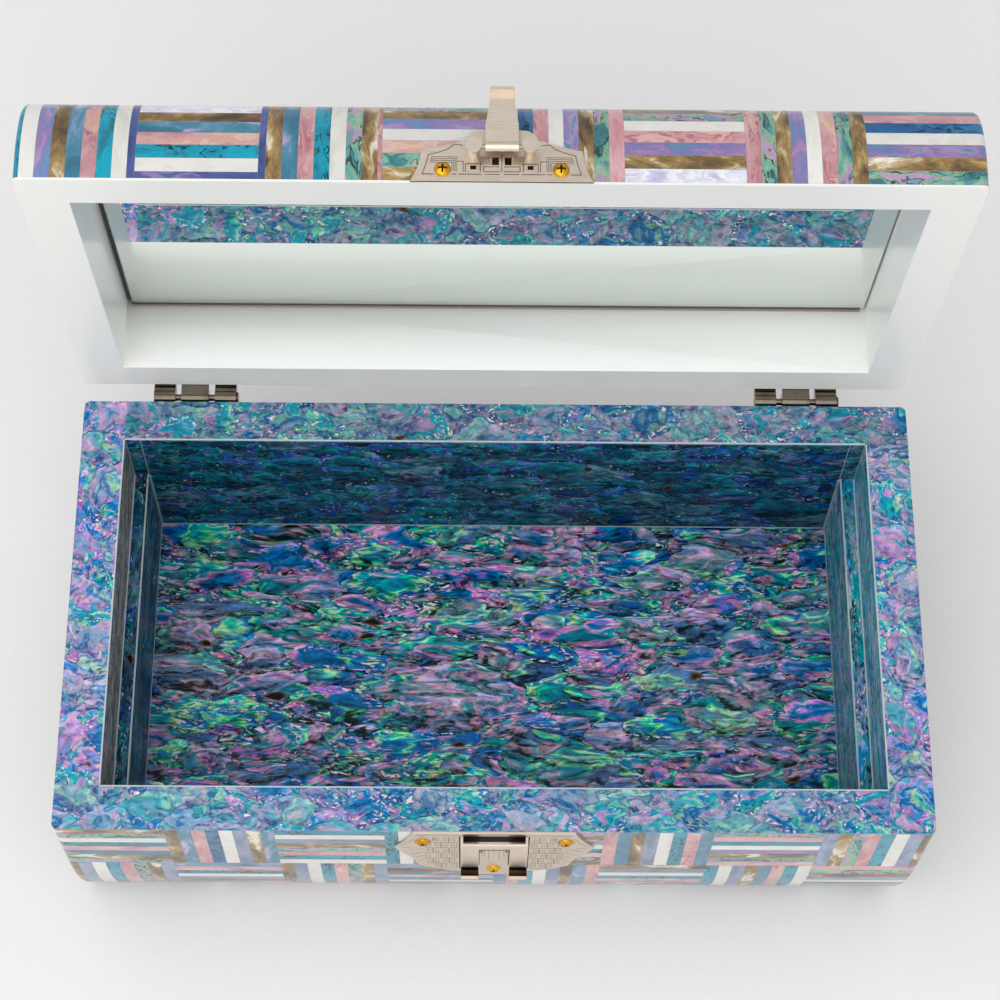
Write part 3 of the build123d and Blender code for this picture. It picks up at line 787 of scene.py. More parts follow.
# Cast resin along edges and in corners: pale, and a little grey against the shell.
PALE_EDGING = Lacquer("pale_resin_edging", "#AEB7BA", "#C0C6C4")
FINE_LINE = Lacquer("fine_resin_line", "#9DB2B8", "#7F9AA2")
BEAD = Lacquer("taupe_mirror_bead", "#A5988C", "#988B7E")
# Float glass with silver behind it: clean reflections with a little dust.
MIRROR = SilveredGlass("silvered_mirror_glass", "#E2E8E4")
# Grey card, pressed fibreboard and wool felt: matt, with short fibres that catch the light.
CARD = Fibrous("grey_mirror_card", "#4B4C48", "#3B3C39", 1.2, 0.04)
BOARD = Fibrous("pressed_fibreboard", "#9A7B56", "#7F6343", 1.8, 0.05)
FELT = Fibrous("black_wool_felt", "#17171A", "#2B2B2F", 1.0, 0.25)

CYCLE = (Shell.TEAL, Shell.WHITE, Shell.VIOLET, Shell.BRONZE, Shell.STEEL, Shell.PINK)


class Lay(Enum):
    """Which way the strips of a block run."""

    UPRIGHT = "upright"
    LEVEL = "level"


@dataclass(frozen=True)
class Block:
    """One block of the basket weave: its strips follow the shell cycle from a start.

    Attributes:
        width: Width along the panel in millimetres.
        lay: Which way its strips run.
        start: Kind of shell of its first strip.
        step: 1 follows the cycle, -1 runs it backwards.
        without: A kind of shell that this block leaves out.
        lead: Kind of shell of the first strip, where it is another than start.
        first: Width of the first strip, where it was cut down.
        binding: Width of the thin strip at each end of level strips.
        swaps: Kinds of shell that stand in for another in this block.
    """

    width: float
    lay: Lay
    start: Shell
    step: int = 1
    without: Optional[Shell] = None
    lead: Optional[Shell] = None
    first: Optional[float] = None
    binding: tuple[float, float] = (0.0, 0.0)
    swaps: tuple[tuple[Shell, Shell], ...] = ()

    def shells(self, count: int) -> list[Shell]:
        """Kinds of shell of the block's strips.

        Args:
            count: How many strips.

        Returns:
            One kind for each strip.
        """
        cycle = [shell for shell in CYCLE if shell is not self.without]
        at = cycle.index(Shell.STEEL if self.start is Shell.PAUA else self.start)
        run = [cycle[(at + self.step * k) % len(cycle)] for k in range(count)]
        stand_ins = dict(self.swaps)
        run = [stand_ins.get(shell, shell) for shell in run]
        return ([self.lead] + run)[:count] if self.lead else run


@dataclass(frozen=True)
class Row:
    """A row of blocks between two distances along the panel.

    Attributes:
        low: Where the row starts, in millimetres from the panel's first edge.
        high: Where it ends.
        blocks: Its blocks, left to right.
    """

    low: float
    high: float
    blocks: tuple[Block, ...]


@dataclass
class Strip:
    """One laid strip.

    Attributes:
        lay: Which way it runs.
        offset: Its own place in the pattern.
        tone: Its own tone, 0 to 1.
    """

    lay: Lay
    offset: Vector
    tone: float


@dataclass(frozen=True)
class Section:
    """Outline of the body or the lid across its depth, with its open side at height 0.

    Attributes:
        half_depth: Half of the depth.
        height: Height of the outline.
        face_radius: Radius of the slow curve.
        face_angle: Angle of the slow curve in degrees.
        edge_radius: Radius of the tight curve.
        skirt: Height at which the shell begins.
    """

    half_depth: float
    height: float
    face_radius: float
    face_angle: float
    edge_radius: float
    skirt: float

    @property
    def rise(self) -> float:
        """Height of the slow curve."""
        return (self.face_radius - self.edge_radius) * math.sin(math.radians(self.face_angle))

    @property
    def upright(self) -> float:
        """Height at which the slow curve begins."""
        return self.height - self.edge_radius - self.rise

    @property
    def turn(self) -> float:
        """Half width of the flat top or bottom."""
        lean = (self.face_radius - self.edge_radius) * math.cos(math.radians(self.face_angle))
        return self.half_depth - self.face_radius + lean

    @property
    def stages(self) -> tuple[float, float, float, float]:
        """Where the surface changes.

        Returns:
            Distances along it to the slow curve, the tight curve, the flat and its middle.
        """
        first = self.upright - self.skirt
        second = first + self.face_radius * math.radians(self.face_angle)
        third = second + self.edge_radius * math.radians(90 - self.face_angle)
        return (first, second, third, third + self.turn)

    def place(self, run: float, lift: float) -> Point:
        """Point of the outline.

        Args:
            run: Distance along the surface from the front skirt.
            lift: Distance off the surface.

        Returns:
            Depth and height in millimetres.
        """
        first, second, third, middle = self.stages
        if run > middle:
            depth, height = self.place(2 * middle - run, lift)
            return (-depth, height)
        if run <= first:
            return (-self.half_depth - lift, self.skirt + run)
        if run <= second:
            angle = (run - first) / self.face_radius
            centre = (-(self.half_depth - self.face_radius), self.upright)
            radius = self.face_radius + lift
        elif run <= third:
            angle = math.radians(self.face_angle) + (run - second) / self.edge_radius
            centre = (-self.turn, self.upright + self.rise)
            radius = self.edge_radius + lift
        else:
            return (-self.turn + run - third, self.height + lift)
        return (centre[0] - radius * math.cos(angle), centre[1] + radius * math.sin(angle))

    def bends(self) -> list[float]:
        """Where a mesh of half the outline needs a cut to follow it.

        Returns:
            Distances along the surface.
        """
        first, second, third, _ = self.stages
        slow_step, tight_step = 4, 8
        slow = max(2, round(self.face_angle / slow_step))
        tight = round((90 - self.face_angle) / tight_step)
        cuts = [first + (second - first) * k / slow for k in range(slow + 1)]
        return cuts + [second + (third - second) * k / tight for k in range(1, tight + 1)]


@dataclass
class ShellPanel:
    """A panel of shell strips, cut flat and then bent to its place.

    Attributes:
        name: Name of the piece.
        body: Moving body that it rides on.
        nodes: CAD nodes that it stands for.
        rows: Rows of blocks.
        outline: Outline on the flat in millimetres.
        bend: Turns a point on the flat and its lift into a place in the row frame, in millimetres.
        cuts: Axis and value of each extra cut that the bend needs.
        seed: Seed of the strips' own tones.
        left: Where the rows start across the panel.
        thickness: Thickness of the shell.
        strip_width: Width of a strip.
        seam: Width of the seam between two strips.
        seam_depth: Depth of the seam.
    """

    name: str
    body: str
    nodes: tuple[str, ...]
    rows: tuple[Row, ...]
    outline: Sequence[Point]
    bend: Callable[[Vector], Vector]
    cuts: Sequence[tuple[int, float]]
    seed: int
    left: float
    thickness: float = 1.1
    strip_width: float = 4.69
    seam: float = 0.08
    seam_depth: float = 0.03

    def build(self) -> bpy.types.Object:
        """Makes the panel.

        Returns:
            The finished piece.
        """
        mesh = bmesh.new()
        mesh.faces.new([mesh.verts.new((x, y, 0)) for x, y in self.outline])
        tag = mesh.faces.layers.int.new("strip")
        strips = self.lay_strips(mesh, tag)
        self.open_seams(mesh)
        for axis, value in self.cuts:
            self.slice(mesh, mesh.faces[:], axis, value)
        self.map_strips(mesh, tag, strips)
        count = len(mesh.faces)
        under = bmesh.ops.extrude_face_region(mesh, geom=mesh.faces[:], use_keep_orig=True)["geom"]
        for vert in (item for item in under if isinstance(item, bmesh.types.BMVert)):
            vert.co.z = -self.thickness
        for vert in mesh.verts:
            vert.co = self.bend(vert.co) * MM
        bmesh.ops.recalc_face_normals(mesh, faces=mesh.faces[:])
        LOG.info("%s: %d strips, %d faces on top", self.name, len(strips), count)
        finishes = [STRIP_FINISHES[shell] for shell in Shell] + [SEAM_FINISH]
        return finished_piece(self.name, mesh, finishes, self.body, self.nodes)

    @staticmethod
    def slice(mesh: bmesh.types.BMesh, faces: Iterable[bmesh.types.BMFace], axis: int, value: float) -> None:
        """Cuts faces along a straight line on the flat.

        Args:
            mesh: The mesh.
            faces: Faces to cut.
            axis: 0 cuts across X, 1 across Y.
            value: Where the cut lies.
        """
        faces = [face for face in faces if face.is_valid]
        low = min((vert.co[axis] for face in faces for vert in face.verts), default=value)
        high = max((vert.co[axis] for face in faces for vert in face.verts), default=value)
        if not low + 1e-4 < value < high - 1e-4:
            return
        edges = dict.fromkeys(edge for face in faces for edge in face.edges)
        verts = dict.fromkeys(vert for face in faces for vert in face.verts)
        centre = Vector((0, 0, 0))
        centre[axis] = value
        normal = Vector((0, 0, 0))
        normal[axis] = 1
        bmesh.ops.bisect_plane(
            mesh, geom=[*faces, *edges, *verts], dist=1e-5, plane_co=centre, plane_no=normal
        )

    def lay_strips(self, mesh: bmesh.types.BMesh, tag: bmesh.types.BMLayerItem) -> list[Strip]:
        """Cuts the panel into rows, blocks and strips, and tags each face with its strip.

        Args:
            mesh: The flat panel.
            tag: Face layer that takes each strip's number.

        Returns:
            The strips, in the order of their numbers.
        """
        chance = random.Random(self.seed)
        strips: list[Strip] = []
        for row in self.rows[1:]:
            self.slice(mesh, mesh.faces[:], 1, row.low)
        for row in self.rows:
            side = self.left
            for block in row.blocks[:-1]:
                side += block.width
                here = [f for f in mesh.faces if row.low < f.calc_center_median().y < row.high]
                self.slice(mesh, here, 0, side)
            side = self.left
            for block in row.blocks:
                across = (side, side + block.width)
                self.lay_block(mesh, tag, strips, block, across, (row.low, row.high), chance)
                side += block.width
        return strips

    def lay_block(
        self,
        mesh: bmesh.types.BMesh,
        tag: bmesh.types.BMLayerItem,
        strips: list[Strip],
        block: Block,
        across: Point,
        along: Point,
        chance: random.Random,
    ) -> None:
        """Cuts one block into its strips.

        Args:
            mesh: The flat panel.
            tag: Face layer that takes each strip's number.
            strips: List that the strips are added to.
            block: The block.
            across: Its limits across the panel.
            along: Its limits along the panel.
            chance: Source of the strips' own tones.
        """

        def inside(low: Point, high: Point) -> list[bmesh.types.BMFace]:
            """Finds the faces whose middle lies between two corners.

            Args:
                low: Lower left corner.
                high: Upper right corner.

            Returns:
                The faces.
            """
            found = []
            for face in mesh.faces:
                middle = face.calc_center_median()
                if low[0] < middle.x < high[0] and low[1] < middle.y < high[1]:
                    found.append(face)
            return found

        def lay(shell: Shell, lay_way: Lay, low: Point, high: Point) -> None:
            """Adds the strip between two corners and tags its faces.

            Args:
                shell: Its kind of shell.
                lay_way: Which way it runs.
                low: Lower left corner.
                high: Upper right corner.
            """
            offset = Vector((chance.uniform(0, 9), chance.uniform(0, 9)))
            for face in inside(low, high):
                face[tag] = len(strips)
                face.material_index = shell.value
            strips.append(Strip(lay_way, offset, chance.random()))

        low, high = (across[0], along[0]), (across[1], along[1])
        axis = 0 if block.lay is Lay.UPRIGHT else 1
        left, right = block.binding
        if left:
            self.slice(mesh, inside(low, high), 0, low[0] + left)
            lay(block.lead or Shell.PINK, Lay.UPRIGHT, low, (low[0] + left, high[1]))
            low = (low[0] + left, low[1])
        if right:
            self.slice(mesh, inside(low, high), 0, high[0] - right)
            lay(block.lead or Shell.PINK, Lay.UPRIGHT, (high[0] - right, low[1]), high)
            high = (high[0] - right, high[1])
        lines = [low[axis]]
        if block.first:
            lines.append(low[axis] + block.first)
        rest = high[axis] - lines[-1]
        count = max(1, round(rest / self.strip_width))
        width = rest / count if axis == 0 else self.strip_width
        while lines[-1] + width < high[axis] - 0.5:
            lines.append(lines[-1] + width)
        lines.append(high[axis])
        for line in lines[1:-1]:
            self.slice(mesh, inside(low, high), axis, line)
        for shell, begin, end in zip(block.shells(len(lines) - 1), lines, lines[1:]):
            part_low = (begin, low[1]) if axis == 0 else (low[0], begin)
            part_high = (end, high[1]) if axis == 0 else (high[0], end)
            lay(shell, block.lay, part_low, part_high)

    def open_seams(self, mesh: bmesh.types.BMesh) -> None:
        """Opens a fine seam round each strip.

        Args:
            mesh: The flat panel.
        """
        borders = set(mesh.verts)
        rims = bmesh.ops.inset_individual(
            mesh, faces=mesh.faces[:], thickness=self.seam / 2, use_even_offset=True, use_interpolate=True
        )
        for face in rims["faces"]:
            face.material_index = len(Shell)
        for vert in borders:
            vert.co.z = -self.seam_depth

    def map_strips(self, mesh: bmesh.types.BMesh, tag: bmesh.types.BMLayerItem, strips: list[Strip]) -> None:
        """Writes each strip's own pattern coordinates and tone.

        Args:
            mesh: The flat panel.
            tag: Face layer with each face's strip.
            strips: The strips.
        """
        coordinates = mesh.loops.layers.uv.new("strip")
        tone = mesh.faces.layers.float.new("tone")
        for face in mesh.faces:
            strip = strips[face[tag]]
            face[tone] = strip.tone
            for loop in face.loops:
                x, y = loop.vert.co.x * MM, loop.vert.co.y * MM
                run = Vector((y, x)) if strip.lay is Lay.UPRIGHT else Vector((x, y))
                loop[coordinates].uv = run + strip.offset


def placed(name: str, data: bpy.types.ID) -> bpy.types.Object:
    """A new object in the scene.

    Args:
        name: Its name.
        data: Its mesh, lamp or camera.

    Returns:
        The object.
    """
    thing = bpy.data.objects.new(name, data)
    bpy.context.scene.collection.objects.link(thing)
    return thing


def flattened(mesh: bmesh.types.BMesh) -> None:
    """Takes out the edges between faces that lie in one plane.

    Args:
        mesh: The mesh.
    """
    bmesh.ops.dissolve_limit(
        mesh, angle_limit=math.radians(0.5), verts=mesh.verts[:], edges=mesh.edges[:],
        use_dissolve_boundaries=False,
    )


def softened(
    mesh: bmesh.types.BMesh, edges: Sequence[bmesh.types.BMEdge], width: float, segments: int
) -> None:
    """Bevels edges.

    Args:
        mesh: The mesh.
        edges: Its edges to bevel.
        width: Width of the bevel in metres.
        segments: Faces across it.
    """
    bmesh.ops.bevel(
        mesh, geom=edges, offset=width, offset_type="OFFSET", segments=segments, profile=0.5,
        affect="EDGES", clamp_overlap=True, material=-1,
    )


def finished_piece(
    name: str,
    mesh: bmesh.types.BMesh,
    finishes: Sequence[Finish],
    body: str,
    nodes: Sequence[str],
    sharp_angle: float = 35.0,
    flat_mm2: float = math.inf,
) -> bpy.types.Object:
    """Turns a bmesh into a piece that rides on its body.

    Args:
        name: Name of the piece.
        mesh: Its shape in the row frame, in metres. It is freed.
        finishes: Finishes in the order of the faces' material numbers.
        body: Moving body that it rides on.
        nodes: CAD nodes that it stands for.
        sharp_angle: Edges over this angle stay sharp, in degrees.
        flat_mm2: Faces over this area stay flat, in square millimetres.

    Returns:
        The piece.
    """
    data = bpy.data.meshes.new(name)
    for face in mesh.faces:
        face.smooth = face.calc_area() < flat_mm2 * MM * MM
    mesh.to_mesh(data)
    mesh.free()
    data.set_sharp_from_angle(angle=math.radians(sharp_angle))
    for finish in finishes:
        data.materials.append(finish.material())
    piece = placed(name, data)
    shading = piece.modifiers.new("even_shading", "WEIGHTED_NORMAL")
    shading.keep_sharp = True
    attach(piece, body)
    if nodes:
        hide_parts(*nodes)
    LOG.info("%s: %d faces on %s", name, len(data.polygons), body)
    return piece


@dataclass(frozen=True)
class LidSwing:
    """Where the lid stands at rest, as a turn about its hinge.

    Attributes:
        axis_depth: Depth of the hinge axis in metres.
        axis_height: Height of the hinge axis in metres.
        angle: Open angle in degrees.
    """

    axis_depth: float
    axis_height: float
    angle: float = 85.0

    def opened(self) -> Matrix:
        """Turns the closed lid to the open one.

        Returns:
            The matrix.
        """
        axis = Vector((0, self.axis_depth, self.axis_height))
        turn = Matrix.Rotation(math.radians(-self.angle), 4, "X")
        return Matrix.Translation(axis) @ turn @ Matrix.Translation(-axis)

    def from_lid_heights(self, lid_base: float) -> Matrix:
        """Turns lid heights to the open lid.

        Args:
            lid_base: Height of the closed lid's rim in metres.

        Returns:
            The matrix.
        """
        return self.opened() @ Matrix.Translation(Vector((0, 0, lid_base)))


def rounded_end(x: float, half_width: float, radius: float, lift: float) -> tuple[float, float]:
    """Bends a sheet round the box's end edge.

    Args:
        x: Distance from the middle, measured on the sheet.
        half_width: Half width of the box.
        radius: Radius of the end edge.
        lift: Distance off the surface.

    Returns:
        Distance from the middle and lift after the bend.
    """
    past = abs(x) - (half_width - radius)
    if past <= 0:
        return x, lift
    angle = past / radius
    reach = half_width - radius + (radius + lift) * math.sin(angle)
    return math.copysign(reach, x), (radius + lift) * math.cos(angle) - radius


@dataclass
class ShellCover:
    """The shell on all sides of the body or of the lid.

    Attributes:
        prefix: Start of the pieces' names.
        body: Moving body that it rides on.
        section: Outline across the depth.
        half_width: Half width of the box.
        end_radius: Radius of the end edges.
        block: Usual size of a block.
    """

    prefix: str
    body: str
    section: Section
    half_width: float = 150.0
    end_radius: float = 2.0
    block: float = 37.5

    @property
    def half_sheet(self) -> float:
        """Half width of a sheet that reaches round both end edges."""
        return self.half_width - self.end_radius + self.end_radius * math.pi / 2

    def end_cuts(self) -> list[tuple[int, float]]:
        """Cuts that let a sheet follow both end edges.

        Returns:
            Axis and value of each cut.
        """
        steps = 4
        quarter = self.end_radius * math.pi / 2
        places = [self.half_sheet - quarter + quarter * k / steps for k in range(steps)]
        return [(0, sign * place) for place in places for sign in (-1, 1)]

    def to_frame(self, depth: float, height: float, x: float) -> Vector:
        """Place in the row frame of a point of the section, in millimetres."""
        raise NotImplementedError

    def wrap(self, flat: Vector, back: bool) -> Vector:
        """Bends a point of a long side's sheet to its place.

        Args:
            flat: Distance from the middle, distance from the skirt, lift.
            back: Whether the sheet starts at the back skirt.

        Returns:
            The place in the row frame, in millimetres.
        """
        x, lift = rounded_end(flat.x, self.half_width, self.end_radius, flat.z)
        depth, height = self.section.place(flat.y, lift)
        if back:
            return self.to_frame(-depth, height, -x)
        return self.to_frame(depth, height, x)

    def end_outline(self) -> list[Point]:
        """Outline of a flat end panel, drawn in by the end radius.

        Returns:
            Its points in millimetres.
        """
        total = 2 * self.section.stages[3]
        half = [0.0] + self.section.bends()
        runs = half + [total - run for run in reversed(half)]
        return [self.section.place(run, -self.end_radius) for run in runs]

    def long_rows(self, kinds: Sequence[Sequence[Block]], limits: Sequence[float]) -> tuple[Row, ...]:
        """Rows of blocks between limits.

        Args:
            kinds: The blocks of each row.
            limits: The rows' limits.

        Returns:
            The rows.
        """
        return tuple(Row(low, high, tuple(blocks)) for blocks, low, high in zip(kinds, limits, limits[1:]))

    def plain_blocks(self, widths: Sequence[float], row: int, turn: int) -> tuple[Block, ...]:
        """A row of blocks in checkerboard order whose starts step through the cycle.

        Args:
            widths: Widths of the blocks.
            row: Number of the row.
            turn: Shift of the starts.

        Returns:
            The blocks.
        """
        blocks = []
        for column, width in enumerate(widths):
            lay = Lay.UPRIGHT if (row + column) % 2 else Lay.LEVEL
            start = CYCLE[(2 * row + 5 * column + turn) % len(CYCLE)]
            swaps = (
                (Shell.VIOLET, (Shell.VIOLET, Shell.SLATE, Shell.PAUA)[(row + 2 * column) % 3]),
                (Shell.STEEL, (Shell.PAUA, Shell.STEEL)[(row + column + turn) % 2]),
                (Shell.TEAL, (Shell.TEAL, Shell.TEAL, Shell.ROYAL)[(2 * row + column + turn) % 3]),
            )
            blocks.append(Block(width, lay, start, 1 if (row + column + turn) % 3 else -1, swaps=swaps))
        return tuple(blocks)

    def end_panel(self, side: int, low: float, high: float, seed: int) -> ShellPanel:
        """The panel on one end.

        Args:
            side: -1 for the left end, 1 for the right.
            low: Lowest height.
            high: Highest height.
            seed: Seed of the panel's tones.

        Returns:
            The panel.
        """

        def bend(flat: Vector) -> Vector:
            """Stands a point of the flat panel on the end."""
            return self.to_frame(side * flat.x, flat.y, side * (self.half_width + flat.z))

        depth = 2 * self.section.half_depth
        edge = (depth - 3 * self.block) / 2
        widths = (edge, self.block, self.block, self.block, edge)
        least_row = 3.0
        limits = [low]
        while limits[-1] + self.block < high - least_row:
            limits.append(limits[-1] + self.block)
        limits.append(high + 1)
        kinds = [self.plain_blocks(widths, row, seed) for row in range(len(limits) - 1)]
        word = "left" if side < 0 else "right"
        return ShellPanel(
            f"{self.prefix}_{word}_shell", self.body, (f"{self.prefix}_{word}_inlay",),
            self.long_rows(kinds, limits), self.end_outline(), bend, (), seed, -depth / 2,
        )


@dataclass
class BodyShell(ShellCover):
    """Shell on the four sides of the body.

    Attributes:
        rim_height: Height of the rim above the table.
    """

    rim_height: float = 87.7

    def to_frame(self, depth: float, height: float, x: float) -> Vector:
        """Place in the row frame of a point of the section, in millimetres."""
        return Vector((x, depth, self.rim_height - height))

    def front_blocks(self) -> list[list[Block]]:
        """The three rows of the front, as the photographed box has them.

        Returns:
            The blocks of each row, left to right.
        """
        level, upright = Lay.LEVEL, Lay.UPRIGHT
        size = self.block
        edge = self.half_sheet - 3 * size
        slate = (Shell.VIOLET, Shell.SLATE)
        paua = (Shell.STEEL, Shell.PAUA)
        upper = [
            Block(edge, level, Shell.BRONZE, -1, swaps=((Shell.VIOLET, Shell.PAUA),)),
            Block(size, upright, Shell.BRONZE, swaps=(slate, (Shell.TEAL, Shell.ROYAL))),
            Block(size, level, Shell.TEAL, swaps=(slate, paua)),
            Block(size, upright, Shell.TEAL, swaps=(slate,)),
            Block(size, level, Shell.STEEL, -1, swaps=(slate, paua)),
            Block(size, upright, Shell.PINK, -1, swaps=(slate,)),
            Block(size, level, Shell.STEEL, swaps=(paua,)),
            Block(edge, upright, Shell.VIOLET, swaps=(slate, paua)),
        ]
        lower = [
            Block(edge, upright, Shell.BRONZE, -1, swaps=(slate, paua)),
            Block(size, level, Shell.STEEL, swaps=(slate,)),
            Block(size, upright, Shell.BRONZE, -1, swaps=(slate, paua)),
            Block(size, level, Shell.VIOLET, swaps=(slate,)),
            Block(size, upright, Shell.STEEL, swaps=(slate,)),
            Block(size, level, Shell.BRONZE, -1, swaps=(slate, paua)),
            Block(size, upright, Shell.TEAL, swaps=(slate,)),
            Block(edge, level, Shell.PINK, -1, swaps=(slate, paua)),
        ]
        lowest = [
            Block(block.width, block.lay, block.start, -block.step, swaps=block.swaps) for block in upper
        ]
        return [upper, lower, lowest]

    def build(self) -> None:
        """Makes the four panels."""
        third = self.section.stages[2]
        limits = [0.0, self.block, 2 * self.block, third]
        half = self.half_sheet
        outline = [(-half, 0.0), (half, 0.0), (half, third), (-half, third)]
        cuts = [(1, run) for run in self.section.bends() if 0 < run < third] + self.end_cuts()
        edge = half - 3 * self.block
        widths = (edge, *(self.block,) * 6, edge)
        fronts = self.long_rows(self.front_blocks(), limits)
        backs = self.long_rows([self.plain_blocks(widths, row, 3) for row in range(3)], limits)
        for word, rows, back, seed in (("front", fronts, False, 11), ("back", backs, True, 12)):
            ShellPanel(
                f"base_{word}_shell", self.body, (f"base_{word}_inlay",), rows, outline,
                lambda flat, back=back: self.wrap(flat, back), cuts, seed, -half,
            ).build()
        low = self.section.skirt
        high = self.section.height - self.end_radius
        self.end_panel(-1, low, high, 13).build()
        self.end_panel(1, low, high, 14).build()


@dataclass
class LidShell(ShellCover):
    """Shell on the lid's four sides and top.

    Attributes:
        rest: Matrix from lid heights in metres to the open lid.
    """

    rest: Matrix = Matrix.Identity(4)

    def to_frame(self, depth: float, height: float, x: float) -> Vector:
        """Place in the row frame of a point of the section, in millimetres."""
        return (self.rest @ (Vector((x, depth, height)) * MM)) / MM

    def front_blocks(self) -> list[Block]:
        """The front row, as the photographed lid has it.

        Returns:
            Its blocks, left to right.
        """
        level, upright = Lay.LEVEL, Lay.UPRIGHT
        extra = self.half_sheet - self.half_width
        paua_violet = (Shell.VIOLET, Shell.PAUA)
        paua_steel = (Shell.STEEL, Shell.PAUA)
        no_teal = Shell.TEAL
        return [
            Block(35.0 + extra, upright, Shell.TEAL, first=3.0),
            Block(
                42.4, level, Shell.WHITE, -1, lead=Shell.INDIGO, first=2.4, binding=(2.4, 2.2),
                swaps=((Shell.VIOLET, Shell.PEARL),),
            ),
            Block(34.4, upright, Shell.BRONZE, swaps=(paua_violet,)),
            Block(43.2, level, Shell.BRONZE, without=no_teal, binding=(1.3, 2.2), swaps=(paua_steel,)),
            Block(32.8, upright, Shell.PINK, without=no_teal, lead=Shell.ROYAL, swaps=(paua_steel,)),
            Block(
                37.5, level, Shell.BRONZE, without=no_teal, lead=Shell.PEARL,
                swaps=(paua_violet, (Shell.STEEL, Shell.VIOLET)),
            ),
            Block(37.5, upright, Shell.PINK, -1, without=no_teal, swaps=(paua_steel,)),
            Block(37.2 + extra, level, Shell.BRONZE, -1, lead=Shell.PAUA, swaps=((Shell.TEAL, Shell.ROYAL),)),
        ]

    def build(self) -> None:
        """Makes the front, top, back and end panels."""
        section = self.section
        third, middle = section.stages[2:]
        total = 2 * middle
        half = self.half_sheet
        edge = half - 3 * self.block
        widths = (edge, *(self.block,) * 6, edge)
        runs = section.bends()
        cuts = [(1, run) for run in runs] + [(1, total - run) for run in runs] + self.end_cuts()
        inner = [third + self.block * k for k in range(4)]
        panels = (
            ("front", [0.0, third], [self.front_blocks()]),
            ("top", [*inner, total - third], [self.plain_blocks(widths, row, 1) for row in range(4)]),
            ("back", [total - third, total], [self.plain_blocks(widths, 1, 4)]),
        )
        for seed, (word, limits, kinds) in enumerate(panels, start=21):
            low, high = limits[0], limits[-1]
            outline = [(-half, low), (half, low), (half, high), (-half, high)]
            own_cuts = [(axis, value) for axis, value in cuts if axis == 0 or low < value < high]
            ShellPanel(
                f"lid_{word}_shell", self.body, (f"lid_{word}_inlay",), self.long_rows(kinds, limits),
                outline, lambda flat: self.wrap(flat, False), own_cuts, seed, -half,
            ).build()
        low, high = section.skirt, section.height - self.end_radius
        self.end_panel(-1, low, high, 31).build()
        self.end_panel(1, low, high, 32).build()


@dataclass
class Fitting:
    """A piece made from the CAD solids of one or more nodes, with its hard edges softened.

    Attributes:
        name: Name of the piece.
        nodes: CAD nodes that it is made from and stands for.
        body: Moving body that it rides on.
        finish: Its finish.
        slot: Material slot of the record; not used.
        edge_mm: Width of the softened edge.
        segments: Faces across the softened edge.
        smallest_angle: Edges under this angle aren't softened, in degrees.
        curl: Depth, height and radius of a rolled foot whose inside gets painted shade, in millimetres.
        dark_slots: Whether the cross slots of its screw heads get painted shade.
    """

    name: str
    nodes: tuple[str, ...]
    body: str
    finish: Finish
    slot: str
    edge_mm: float = 0.15
    segments: int = 2
    smallest_angle: float = 40.0
    curl: Optional[tuple[float, float, float]] = None
    dark_slots: bool = False

    def build(self, sources: Nodes, lid_front: Vector) -> bpy.types.Object:
        """Makes the piece.

        Args:
            sources: The CAD nodes by name.
            lid_front: Direction that the open lid's front faces.

        Returns:
            The piece.
        """
        mesh = bmesh.new()
        for node in self.nodes:
            mesh.from_mesh(sources[node].data)
        bmesh.ops.remove_doubles(mesh, verts=mesh.verts[:], dist=1e-6)
        bmesh.ops.recalc_face_normals(mesh, faces=mesh.faces[:])
        flattened(mesh)
        softened(mesh, self.hard_edges(mesh), self.edge_mm * MM, self.segments)
        # The inside of a rolled foot gets painted shade.
        if self.curl:
            self.paint_curl_shade(mesh, *self.curl)
        if self.dark_slots:
            self.darken_slots(mesh, lid_front if self.body == "lid" else Vector((0, -1, 0)))
        return finished_piece(self.name, mesh, [self.finish, RECESS_PAINTED_SHADE], self.body, self.nodes)

    def hard_edges(self, mesh: bmesh.types.BMesh) -> list[bmesh.types.BMEdge]:
        """Edges of the piece that are softened."""
        least = math.radians(self.smallest_angle)
        return [edge for edge in mesh.edges if edge.is_manifold and edge.calc_face_angle(0.0) > least]

    @staticmethod
    def darken_slots(mesh: bmesh.types.BMesh, axis: Vector) -> None:
        """Paints shade on the walls and floors of the cross slots in screw heads.

        Args:
            mesh: The screws.
            axis: Direction that the heads face.
        """
        wall, floor = 0.2, 0.9995
        for face in mesh.faces:
            facing = face.normal.dot(axis)
            if abs(facing) < wall or facing > floor:
                face.material_index = 1

    @staticmethod
    def paint_curl_shade(mesh: bmesh.types.BMesh, depth: float, height: float, radius: float) -> None:
        """Paints shade on the faces on the inside of a rolled foot.

        Args:
            mesh: The piece.
            depth: Depth of the roll's centre in millimetres.
            height: Height of the roll's centre.
            radius: Inner radius of the roll.
        """
        centre = Vector((0, depth, height)) * MM
        for face in mesh.faces:
            inward = centre - face.calc_center_median()
            inward.x = 0
            facing = face.normal.dot(inward) > 0.3 * inward.length
            if facing and inward.length < (radius + 0.5) * MM and abs(face.normal.x) < 0.5:
                face.material_index = 1


